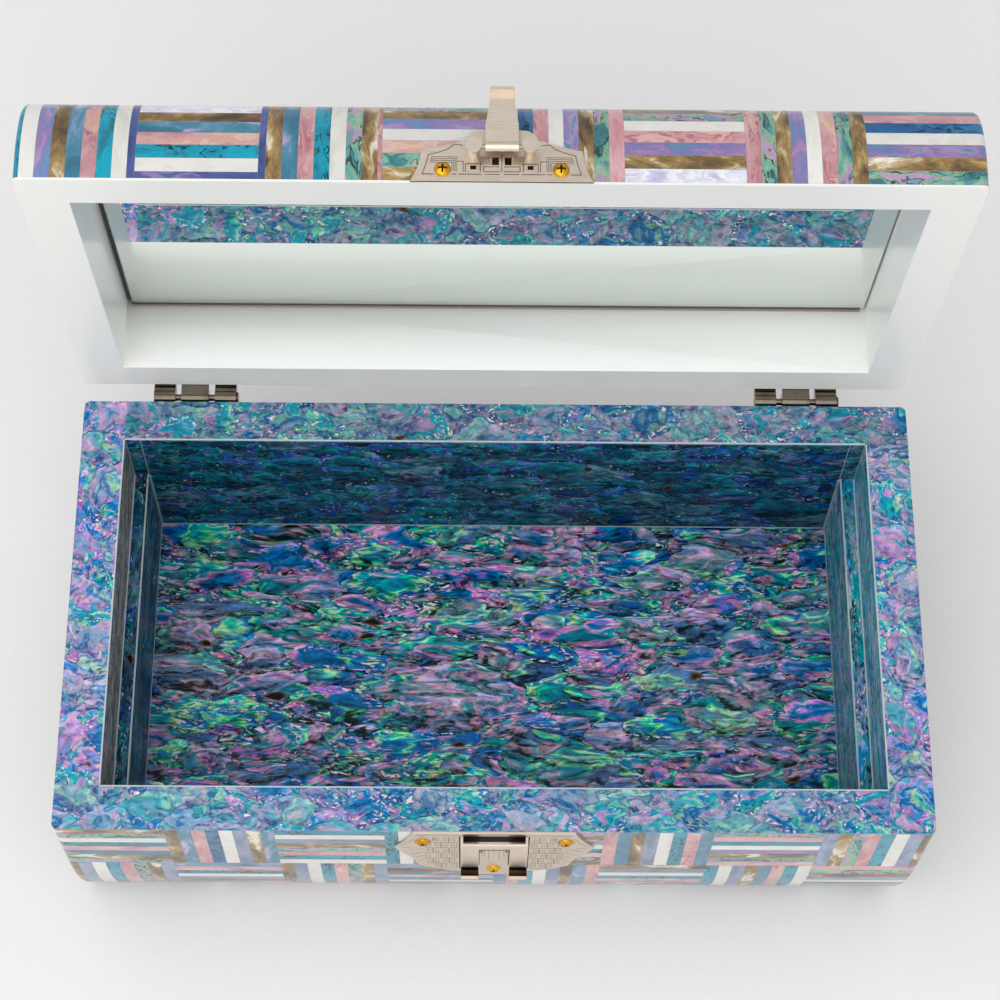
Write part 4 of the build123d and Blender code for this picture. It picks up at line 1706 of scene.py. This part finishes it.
@dataclass
class Carcass:
    """The sheets, boards and felt of the body and the lid, and the pale lines along their edges.

    Attributes:
        line_mm: Width of a pale edging line.
        proud_mm: How far it stands out.
        thin_mm: Width of a fine line in a corner.
        wide_mm: Width of the line in the corner under a ledge.
    """

    line_mm: float = 0.6
    proud_mm: float = 0.05
    thin_mm: float = 0.35
    wide_mm: float = 0.8

    SHEETS: ClassVar[dict[str, Finish]] = {
        "rim_strip_front": FRONT_RIM, "rim_strip_back": BACK_RIM, "rim_strip_left": SIDE_RIM,
        "rim_strip_right": SIDE_RIM, "floor_lining": FLOOR_SHEET, "front_lining": WALL_SHEET,
        "back_lining": WALL_SHEET, "left_upper_lining": LEFT_END_SHEET, "right_upper_lining": RIGHT_END_SHEET,
        "left_tray_ledge": LEFT_LEDGE_SHEET, "right_tray_ledge": RIGHT_LEDGE_SHEET, "underside_felt": FELT,
        "base_front_wall": BOARD, "base_back_wall": BOARD, "base_left_wall": BOARD, "base_right_wall": BOARD,
        "base_bottom_board": BOARD, "lid_top_board": BOARD, "mirror_backing": CARD,
    }

    def dress_nodes(self, nodes: Nodes) -> None:
        """Gives each carried-over CAD node its finish.

        Args:
            nodes: The CAD nodes by name.
        """
        for name, finish in self.SHEETS.items():
            node = nodes[name]
            node.data.materials.clear()
            node.data.materials.append(finish.material())
            LOG.info("%s: %s", name, finish.name)

    def edging(
        self,
        name: str,
        low: Vector,
        high: Vector,
        finish: Finish = PALE_EDGING,
        body: str = "base",
        place: Matrix = Matrix.Identity(4),
        slot: str = "abalone_sheet",
    ) -> bpy.types.Object:
        """A thin bar between two corners.

        Args:
            name: Name of the piece.
            low: Lowest corner in metres.
            high: Highest corner in metres.
            finish: Its finish.
            body: Moving body that it rides on.
            place: Matrix from the corners' own frame to the row frame.
            slot: Material slot of the record; not used.

        Returns:
            The piece.
        """
        mesh = bmesh.new()
        size = high - low
        middle = (high + low) / 2
        stretch = Matrix.Diagonal((*size, 1.0))
        bmesh.ops.create_cube(mesh, size=1.0, matrix=Matrix.Translation(middle) @ stretch)
        softened(mesh, mesh.edges[:], min(0.1 * MM, 0.3 * min(size)), 1)
        bmesh.ops.transform(mesh, matrix=place, verts=mesh.verts[:])
        return finished_piece(name, mesh, [finish], body, ())

    def build_corner_lines(self) -> None:
        """Makes the fine pale resin lines in the corners of the well and along its floor."""
        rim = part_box("rim_strip_front")[1].z
        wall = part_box("right_upper_lining")[0].x
        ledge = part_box("right_tray_ledge")
        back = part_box("back_lining")[0].y
        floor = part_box("floor_lining")[1].z
        line, thin, wide = self.line_mm * MM, self.thin_mm * MM, self.wide_mm * MM
        for side, word in ((-1, "left"), (1, "right")):
            for part, x, width, low, high in (
                ("wall_corner", wall, thin, ledge[1].z, rim - line),
                ("ledge_corner", ledge[0].x, wide, floor, ledge[1].z - line),
                ("joint", ledge[0].x, thin, ledge[1].z, rim - line),
            ):
                a, b = sorted((side * x, side * (x - width)))
                ends = Vector((a, back - width, low)), Vector((b, back, high))
                self.edging(f"{word}_{part}_line", *ends, FINE_LINE)
            a, b = sorted((side * ledge[0].x, side * (ledge[0].x - thin)))
            ends = Vector((a, -back, floor)), Vector((b, back - wide, floor + thin))
            self.edging(f"{word}_floor_line", *ends, FINE_LINE)
        self.edging(
            "back_floor_line", Vector((-ledge[0].x + wide, back - thin, floor)),
            Vector((ledge[0].x - wide, back, floor + 0.5 * MM)), FINE_LINE,
        )

    def build_mirror_foot(self, mirror: bpy.types.Object, lid: Matrix) -> None:
        """Makes the painted shade line and the bead where the mirror stands in the lid's recess.

        Args:
            mirror: The mirror's CAD node.
            lid: Matrix from lid heights in metres to the open lid.
        """
        turned = lid.inverted()
        corners = [turned @ vert.co for vert in mirror.data.vertices]
        half = min(abs(corner.x) for corner in corners)
        foot = max(corner.y for corner in corners)
        face = min(corner.z for corner in corners)
        for name, finish, (start, deep), (end, shallow) in (
            # The dark card line on the mirror's foot is painted shade of the gap and of its reflection.
            ("mirror_foot_painted_shade", CARD, (-1.1, -0.06), (0.0, 0.0)),
            ("mirror_foot_bead", BEAD, (0.3, -0.9), (0.39, -0.06)),
        ):
            low = Vector((-half, foot + start * MM, face + deep * MM))
            high = Vector((half, foot + end * MM, face + shallow * MM))
            self.edging(name, low, high, finish, "lid", lid, "backing_card")

    def build_edging(self) -> None:
        """Makes the pale lines along the rim's inner edge and the ledges."""
        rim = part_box("rim_strip_front")[1].z
        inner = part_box("left_upper_lining")[1].x
        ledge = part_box("left_tray_ledge")[1]
        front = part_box("front_lining")[1].y
        line = self.line_mm * MM
        proud = self.proud_mm * MM
        for side, word in ((-1, "left"), (1, "right")):
            for part, x, z in (("rim", inner, rim), ("seat", inner, ledge.z), ("ledge", ledge.x, ledge.z)):
                outward = -1 if part == "seat" else 1
                a, b = sorted((side * abs(x), side * (abs(x) + outward * line)))
                shift = 0 if part == "seat" else -side * proud
                self.edging(
                    f"{word}_{part}_edging",
                    Vector((a + shift, front, z - line + proud)),
                    Vector((b + shift, -front, z + proud)),
                )
        for side, word in ((-1, "front"), (1, "back")):
            a, b = sorted((side * abs(front), side * (abs(front) + line)))
            shift = -side * proud
            self.edging(
                f"{word}_rim_edging",
                Vector((-abs(inner), a + shift, rim - line + proud)),
                Vector((abs(inner), b + shift, rim + proud)),
            )


@dataclass
class LidFrame:
    """The lacquered frame of the lid: its four rails under one coat.

    Attributes:
        rest: Matrix from lid heights in metres to the open lid.
        edge_mm: Radius of the softened rim.
        recess: Half width and half depth that hold the recess, in millimetres.
    """

    rest: Matrix
    edge_mm: float = 0.7
    recess: Point = (136.5, 67.5)

    RAILS: ClassVar[tuple[str, ...]] = ("lid_front_rail", "lid_back_rail", "lid_left_rail", "lid_right_rail")

    def build(self, nodes: Nodes) -> bpy.types.Object:
        """Joins the rails and softens the rim and the recess.

        Args:
            nodes: The CAD nodes by name.

        Returns:
            The piece.
        """
        joined = self.joined(nodes)
        mesh = bmesh.new()
        mesh.from_mesh(joined)
        bpy.data.meshes.remove(joined)
        bmesh.ops.transform(mesh, matrix=self.rest.inverted(), verts=mesh.verts[:])
        bmesh.ops.remove_doubles(mesh, verts=mesh.verts[:], dist=2e-6)
        flattened(mesh)
        softened(mesh, [edge for edge in mesh.edges if self.shows(edge)], self.edge_mm * MM, 3)
        # Faces in the recess get the brighter copy: painted light against the recess's shade.
        for face in mesh.faces:
            middle = face.calc_center_median() / MM
            if middle.z > 1 and abs(middle.x) < self.recess[0] and abs(middle.y) < self.recess[1]:
                face.material_index = 1
        bmesh.ops.transform(mesh, matrix=self.rest, verts=mesh.verts[:])
        return finished_piece(
            "lid_lacquered_frame", mesh, [WHITE_LACQUER, RECESS_PAINTED_LIGHT_LACQUER], "lid", self.RAILS,
            sharp_angle=50.0, flat_mm2=300.0,
        )

    def joined(self, nodes: Nodes) -> bpy.types.Mesh:
        """One mesh of the four rails.

        Args:
            nodes: The CAD nodes by name.

        Returns:
            The mesh.
        """
        parts = []
        for name in self.RAILS:
            data = nodes[name].data.copy()
            solid = bmesh.new()
            solid.from_mesh(data)
            bmesh.ops.remove_doubles(solid, verts=solid.verts[:], dist=1e-6)
            solid.to_mesh(data)
            solid.free()
            parts.append(placed(f"{name}_copy", data))
        for part in parts[1:]:
            union = parts[0].modifiers.new(part.name, "BOOLEAN")
            union.operation = "UNION"
            union.solver = "EXACT"
            union.object = part
        graph = bpy.context.evaluated_depsgraph_get()
        mesh = bpy.data.meshes.new_from_object(parts[0].evaluated_get(graph))
        for part in parts:
            data = part.data
            bpy.data.objects.remove(part)
            bpy.data.meshes.remove(data)
        return mesh

    @staticmethod
    def shows(edge: bmesh.types.BMEdge) -> bool:
        """Whether an edge is softened.

        Args:
            edge: An edge of the frame, in lid heights.

        Returns:
            True where it lies on the rim and is hard.
        """
        smallest_angle, rim_height = math.radians(40), 0.05 * MM
        if not edge.is_manifold or edge.calc_face_angle(0.0) < smallest_angle:
            return False
        return max(vert.co.z for vert in edge.verts) < rim_height


@dataclass
class Hardware:
    """Hinges, latch, catch and screws."""

    FITTINGS: ClassVar[tuple[Fitting, ...]] = (
        Fitting("latch_cover_plate", ("latch_plate",), "lid", CATCH_NICKEL, "nickel_plate", 0.2),
        Fitting("latch_mushroom_posts", ("latch_posts",), "lid", NICKEL, "nickel_plate", 0.25, 3),
        Fitting("latch_axle_rod", ("latch_axle",), "lid", STEEL_AXLE, "nickel_steel", 0.1),
        Fitting("latch_gilt_screws", ("latch_screws",), "lid", GILT, "gilt_brass", 0.04, dark_slots=True),
        Fitting("flip_over_lever", ("latch_lever",), "lever", NICKEL, "nickel_plate", 0.22, 3),
        Fitting("catch_cover_plate", ("catch_plate",), "base", CATCH_NICKEL, "nickel_plate", 0.2),
        Fitting(
            "catch_raised_bracket", ("catch_bracket",), "base", SATIN_NICKEL, "nickel_plate", 0.18,
            curl=(-87.25, 60.2, 1.7),
        ),
        Fitting("catch_gilt_screws", ("catch_screws",), "base", GILT, "gilt_brass", 0.04, dark_slots=True),
        Fitting("left_hinge_body_leaf", ("base_hinge_leaf_left",), "base", HINGE_NICKEL, "nickel_plate", 0.2),
        Fitting(
            "right_hinge_body_leaf", ("base_hinge_leaf_right",), "base", HINGE_NICKEL, "nickel_plate", 0.2
        ),
        Fitting("left_hinge_round_pin", ("hinge_pin_left",), "base", HINGE_NICKEL, "nickel_steel", 0.35, 3),
        Fitting("right_hinge_round_pin", ("hinge_pin_right",), "base", HINGE_NICKEL, "nickel_steel", 0.35, 3),
        Fitting("hinge_body_screws", ("base_hinge_screws",), "base", STEEL_AXLE, "nickel_steel", 0.08),
        Fitting("left_hinge_lid_leaf", ("lid_hinge_leaf_left",), "lid", HINGE_NICKEL, "nickel_plate", 0.2),
        Fitting("right_hinge_lid_leaf", ("lid_hinge_leaf_right",), "lid", HINGE_NICKEL, "nickel_plate", 0.2),
        Fitting("hinge_lid_screws", ("lid_hinge_screws",), "lid", STEEL_AXLE, "nickel_steel", 0.08),
        Fitting("lid_mirror", ("mirror_glass",), "lid", MIRROR, "mirror", 0.5, 1),
    )

    def build(self, nodes: Nodes, lid_front: Vector) -> None:
        """Makes every fitting.

        Args:
            nodes: The CAD nodes by name.
            lid_front: Direction that the open lid's front faces.
        """
        for fitting in self.FITTINGS:
            fitting.build(nodes, lid_front)


@dataclass
class Engraving:
    """Lines cut into a plate and darkened, drawn as thin bars that stand a hair proud so that they show.

    Attributes:
        name: Name of the piece.
        body: Moving body that it rides on.
        place: Matrix from the plate's own X and height, in metres, to the row frame.
        finish: Its finish.
        front: Depth of the face that it lies on, in millimetres.
        width: Width of a line in millimetres.
        proud: How far a line stands out.
    """

    name: str
    body: str
    place: Matrix
    finish: Finish
    front: float
    width: float
    proud: float = 0.03

    def line(self, mesh: bmesh.types.BMesh, start: Point, end: Point) -> None:
        """Adds one straight line.

        Args:
            mesh: The engraving.
            start: X and height of its start in millimetres.
            end: X and height of its end.
        """
        low, high = Vector((start[0], 0, start[1])), Vector((end[0], 0, end[1]))
        way = high - low
        turn = Matrix.Rotation(-math.atan2(way.z, way.x), 4, "Y")
        size = Matrix.Diagonal((way.length + self.width * 0.6, self.proud, self.width, 1.0))
        middle = (low + high) / 2 + Vector((0, self.front - self.proud / 2, 0))
        place = Matrix.Scale(MM, 4) @ Matrix.Translation(middle) @ turn @ size
        bmesh.ops.create_cube(mesh, size=1.0, matrix=place)

    def build(self, strokes: Iterable[Sequence[Point]]) -> bpy.types.Object:
        """Makes the piece, with a twin for each stroke that stays right of the middle.

        Args:
            strokes: Points of each stroke in millimetres.

        Returns:
            The piece.
        """
        mesh = bmesh.new()
        for stroke in strokes:
            for side in (1,) if min(x for x, _ in stroke) <= 0 else (1, -1):
                points = [(side * x, height) for x, height in stroke]
                for start, end in zip(points, points[1:]):
                    self.line(mesh, start, end)
        bmesh.ops.transform(mesh, matrix=self.place, verts=mesh.verts[:])
        bmesh.ops.recalc_face_normals(mesh, faces=mesh.faces[:])
        return finished_piece(self.name, mesh, [self.finish], self.body, ())


@dataclass
class LatchOrnament:
    """Engraving of the latch and catch plates, a traditional key fret and frames, and painted shade in their
    recesses.

    Attributes:
        lid: Matrix from lid heights in metres to the open lid.
        rim: Height of the body's rim in metres.
    """

    lid: Matrix
    rim: float

    LID_FRAME: ClassVar[tuple[tuple[Point, ...], ...]] = (
        ((24.4, 2.6), (23.3, 6.0), (22.6, 9.2), (19.6, 10.0), (16.6, 11.2), (14.6, 12.9), (12.2, 12.5)),
        ((0.0, 3.6), (0.0, 9.4)),
        ((0.7, 2.6), (5.2, 2.6)), ((6.2, 2.6), (13.2, 2.6)), ((14.0, 2.6), (15.4, 2.6)),
        ((21.0, 2.6), (24.4, 2.6)),
        ((0.7, 3.5), (5.6, 3.5), (5.6, 5.2), (0.7, 5.2)),
        ((6.6, 3.5), (6.6, 6.2), (11.2, 6.2), (11.2, 3.5)), ((11.9, 3.5), (11.9, 7.0), (13.6, 7.0)),
    )

    # Painted shadow lines inside and beside the bracket's legs, where shade falls on the plate.
    BRACKET_SHADOW_LINES: ClassVar[tuple[tuple[Point, ...], ...]] = (
        ((5.2, -18.9), (5.2, -36.0)), ((-5.2, -18.9), (5.2, -18.9)), ((11.85, -3.4), (11.85, -40.0)),
        ((4.2, -19.4), (4.2, -21.2), (5.2, -21.2)),
    )

    @staticmethod
    def lid_hatching() -> list[tuple[Point, ...]]:
        """Nested frames over each screw and the slanted hatch beside the slots.

        Returns:
            Points of each stroke in millimetres.
        """
        strokes: list[tuple[Point, ...]] = []
        for k in range(4):
            reach = 2.9 + 0.5 * k
            top = 6.6 + 0.62 * k
            left, right = 18.2 - reach, 17.6 + reach
            strokes.append(((left, 3.6), (left, top), (17.6 + reach * 0.9, top), (right, 6.4)))
        for k in range(7):
            foot = 3.2 + 0.52 * k
            strokes.append(((foot, 5.9), (foot + 1.0, 8.6)))
        return strokes

    @staticmethod
    def catch_fret() -> list[tuple[Point, ...]]:
        """Key fret, rings and edge lines of the catch plate.

        Returns:
            Points of each stroke in millimetres. Heights are drops below the rim.
        """
        strokes: list[tuple[Point, ...]] = [
            ((-27.0, -1.3), (27.0, -1.3)), ((12.6, -2.6), (26.4, -2.6)),
            ((27.4, -6.0), (29.6, -10.6), (32.4, -14.6)), ((27.6, -16.6), (31.8, -16.0)),
            ((24.6, -17.2), (30.6, -19.8)), ((24.4, -21.0), (28.6, -24.0)), ((24.2, -25.0), (27.0, -27.4)),
            ((24.0, -29.4), (26.0, -31.8)), ((1.8, -12.0), (1.8, -30.0)), ((3.4, -10.0), (3.4, -26.0)),
            ((0.0, -9.0), (0.0, -22.0)),
        ]
        wide, tall = 2.5, 5.4
        for column in range(4):
            for row in range(6):
                x, drop = 12.9 + 2.75 * column, -4.6 - 6.0 * row
                if math.hypot(x + wide / 2 - 24.5, drop - tall / 2 + 9.4) < 4.3 or drop < -30 and column > 2:
                    continue
                cell = [(0, 0), (1, 0), (1, 1), (0.3, 1), (0.3, 0.4), (0.7, 0.4), (0.7, 0.7)]
                if (row + column) % 2:
                    cell = [(1 - u, 1 - v) for u, v in cell]
                if (row + 2 * column) % 3 == 1:
                    cell = [(u, 1 - v) for u, v in cell]
                strokes.append(tuple((x + wide * u, drop - tall * v) for u, v in cell))
        for centre, radius in (((20.6, -6.4), 0.8), ((24.5, -9.4), 3.1)):
            ring = [math.radians(45 * k) for k in range(9)]
            strokes.append(
                tuple((centre[0] + radius * math.cos(a), centre[1] + radius * math.sin(a)) for a in ring)
            )
        return strokes

    def build(self) -> None:
        """Makes the engraving of both plates and the painted shade in their recesses."""
        body = Matrix.Translation(Vector((0, 0, self.rim)))
        plate_face, slot_floor, plate_foot = -82.15, -81.25, -81.8
        post_foot_shade, slot = ((8.3, 4.9), (9.3, 4.9)), ((1.7, 7.2), (2.2, 7.2))
        foot, pocket = ((-28.0, 0.09), (28.0, 0.09)), ((-9.3, -6.2), (9.3, -6.2))
        latch, catch = ("lid", self.lid), ("base", body)
        # The last five pieces are painted shade: dark bars round the post feet, in the slots, under the
        # plate's foot, in the pocket and beside the bracket.
        for name, side, finish, front, width, strokes in (
            ("latch_plate_engraving", latch, DEEP_ENGRAVING, plate_face, 0.3, self.LID_FRAME),
            ("latch_plate_hatching", latch, DEEP_ENGRAVING, plate_face, 0.22, self.lid_hatching()),
            ("catch_plate_engraving", catch, ENGRAVING, plate_face, 0.26, self.catch_fret()),
            ("latch_post_painted_shade", latch, RECESS_PAINTED_SHADE, plate_face, 1.3, [post_foot_shade]),
            ("latch_slot_shadows", latch, RECESS_PAINTED_SHADE, slot_floor, 3.6, [slot]),
            ("latch_plate_foot_shadow", latch, RECESS_PAINTED_SHADE, plate_foot, 0.14, [foot]),
            ("catch_pocket_shadow", catch, POCKET_PAINTED_SHADE, plate_face, 6.2, [pocket]),
            ("catch_bracket_painted_shadow", catch, POCKET_PAINTED_SHADE, plate_face, 0.42, self.BRACKET_SHADOW_LINES),
        ):
            Engraving(name, *side, finish, front, width).build(strokes)


@dataclass
class Studio:
    """Floor, lamps and camera.

    Attributes:
        floor_hex: Colour of the floor.
        camera_place: Camera position in metres.
        look_down: Camera pitch in degrees.
        look_aside: Camera yaw in degrees.
        roll: Camera roll in degrees.
        focal_pixels: Focal length in pixels of the 1000-pixel picture.
        sensor_mm: Width of the camera's sensor.
        room_strength: Strength of the room's light.
    """

    floor_hex: str = "#EDECEA"
    camera_place: tuple[float, float, float] = (-0.00824, -0.33971, 0.90903)
    look_down: float = 65.04
    look_aside: float = 1.473
    roll: float = 1.739
    focal_pixels: float = 2521.6
    sensor_mm: float = 36.0
    room_strength: float = 0.97

    WALLS: ClassVar[Stops] = ((0.0, "#E9EAEC"), (0.4, "#DADBDE"), (0.9, "#D2D3D6"))

    def build(self) -> None:
        """Makes the floor, the lamps and the camera."""
        self.lay_floor()
        self.hang_lamps()
        self.set_camera()
        bpy.context.scene.view_settings.view_transform = "Standard"

    def lay_floor(self) -> None:
        """Makes a wide pale floor."""
        mesh = bmesh.new()
        bmesh.ops.create_grid(mesh, x_segments=1, y_segments=1, size=3.0)
        data = bpy.data.meshes.new("studio_floor")
        mesh.to_mesh(data)
        mesh.free()
        # Smooth drawing paper: its real fibres are finer than 3 mm and wouldn't show.
        data.materials.append(Fibrous("studio_paper", self.floor_hex, "#EAE9E7", 3.0, 0.01).material())
        placed("studio_floor", data)

    def hang_lamps(self) -> None:
        """Hangs soft lamps and sets the room's light."""
        world = bpy.data.worlds.new("studio_room")
        bpy.context.scene.world = world
        world.use_nodes = True
        tree = world.node_tree
        rise = add_node(tree, "SeparateXYZ", [add_node(tree, "TexCoord", output="Generated")], 2)
        walls = add_node(tree, "ValToRGB", [rise], stops=self.WALLS)
        fill(tree.nodes["Background"], {"Color": walls, "Strength": self.room_strength})
        target = Vector((0, 0.05, 0.08))
        for name, place, size, power in (
            ("key_softbox", (-0.5, -0.5, 1.4), 2.2, 16.5),
            ("front_softbox", (0.5, -1.5, 0.9), 2.0, 5.0),
        ):
            lamp_data = bpy.data.lights.new(name, "AREA")
            lamp_data.shape = "SQUARE"
            lamp_data.size = size
            lamp_data.energy = power
            lamp = placed(name, lamp_data)
            lamp.location = place
            lamp.rotation_euler = (target - Vector(place)).to_track_quat("-Z", "Y").to_euler()

    def set_camera(self) -> None:
        """Sets the camera at the photograph's viewing angle."""
        pitch, yaw, roll = (math.radians(a) for a in (self.look_down, self.look_aside, self.roll))
        level = math.cos(pitch)
        forward = Vector((math.sin(yaw) * level, math.cos(yaw) * level, -math.sin(pitch)))
        level_right = Vector((math.cos(yaw), -math.sin(yaw), 0))
        level_up = level_right.cross(forward)
        right = math.cos(roll) * level_right + math.sin(roll) * level_up
        up = -math.sin(roll) * level_right + math.cos(roll) * level_up
        data = bpy.data.cameras.new("photo_camera")
        data.sensor_width = self.sensor_mm
        data.lens = self.focal_pixels / PIXELS * self.sensor_mm
        data.clip_start = 0.05
        camera = placed("photo_camera", data)
        turn = Matrix((right, up, -forward)).transposed().to_4x4()
        camera.matrix_world = Matrix.Translation(Vector(self.camera_place)) @ turn
        bpy.context.scene.camera = camera


def main() -> None:
    """Builds the whole scene."""
    logging.basicConfig(level=logging.INFO, format="%(name)s: %(message)s")
    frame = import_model()
    nodes = frame["nodes"]
    hinge = next(joint for joint in frame["joints"] if joint["name"] == "lid_hinge")
    swing = LidSwing(hinge["pos_m"][1], hinge["pos_m"][2])
    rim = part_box("rim_strip_front")[1].z
    seam_gap = 0.3 * MM
    rest = swing.from_lid_heights(rim + seam_gap)
    body_section = Section(
        half_depth=81.15, height=86.2, face_radius=130.0, face_angle=14.0, edge_radius=13.0, skirt=1.2
    )
    lid_section = Section(
        half_depth=81.15, height=34.0, face_radius=36.0, face_angle=25.5, edge_radius=17.0, skirt=0.8
    )
    BodyShell("base", "base", body_section).build()
    LidShell("lid", "lid", lid_section, rest=rest).build()
    carcass = Carcass()
    carcass.dress_nodes(nodes)
    carcass.build_edging()
    carcass.build_corner_lines()
    carcass.build_mirror_foot(nodes["mirror_glass"], rest)
    LidFrame(rest).build(nodes)
    Hardware().build(nodes, rest.to_3x3() @ Vector((0, -1, 0)))
    LatchOrnament(rest, rim).build()
    Studio().build()


if __name__ == "__main__":
    main()
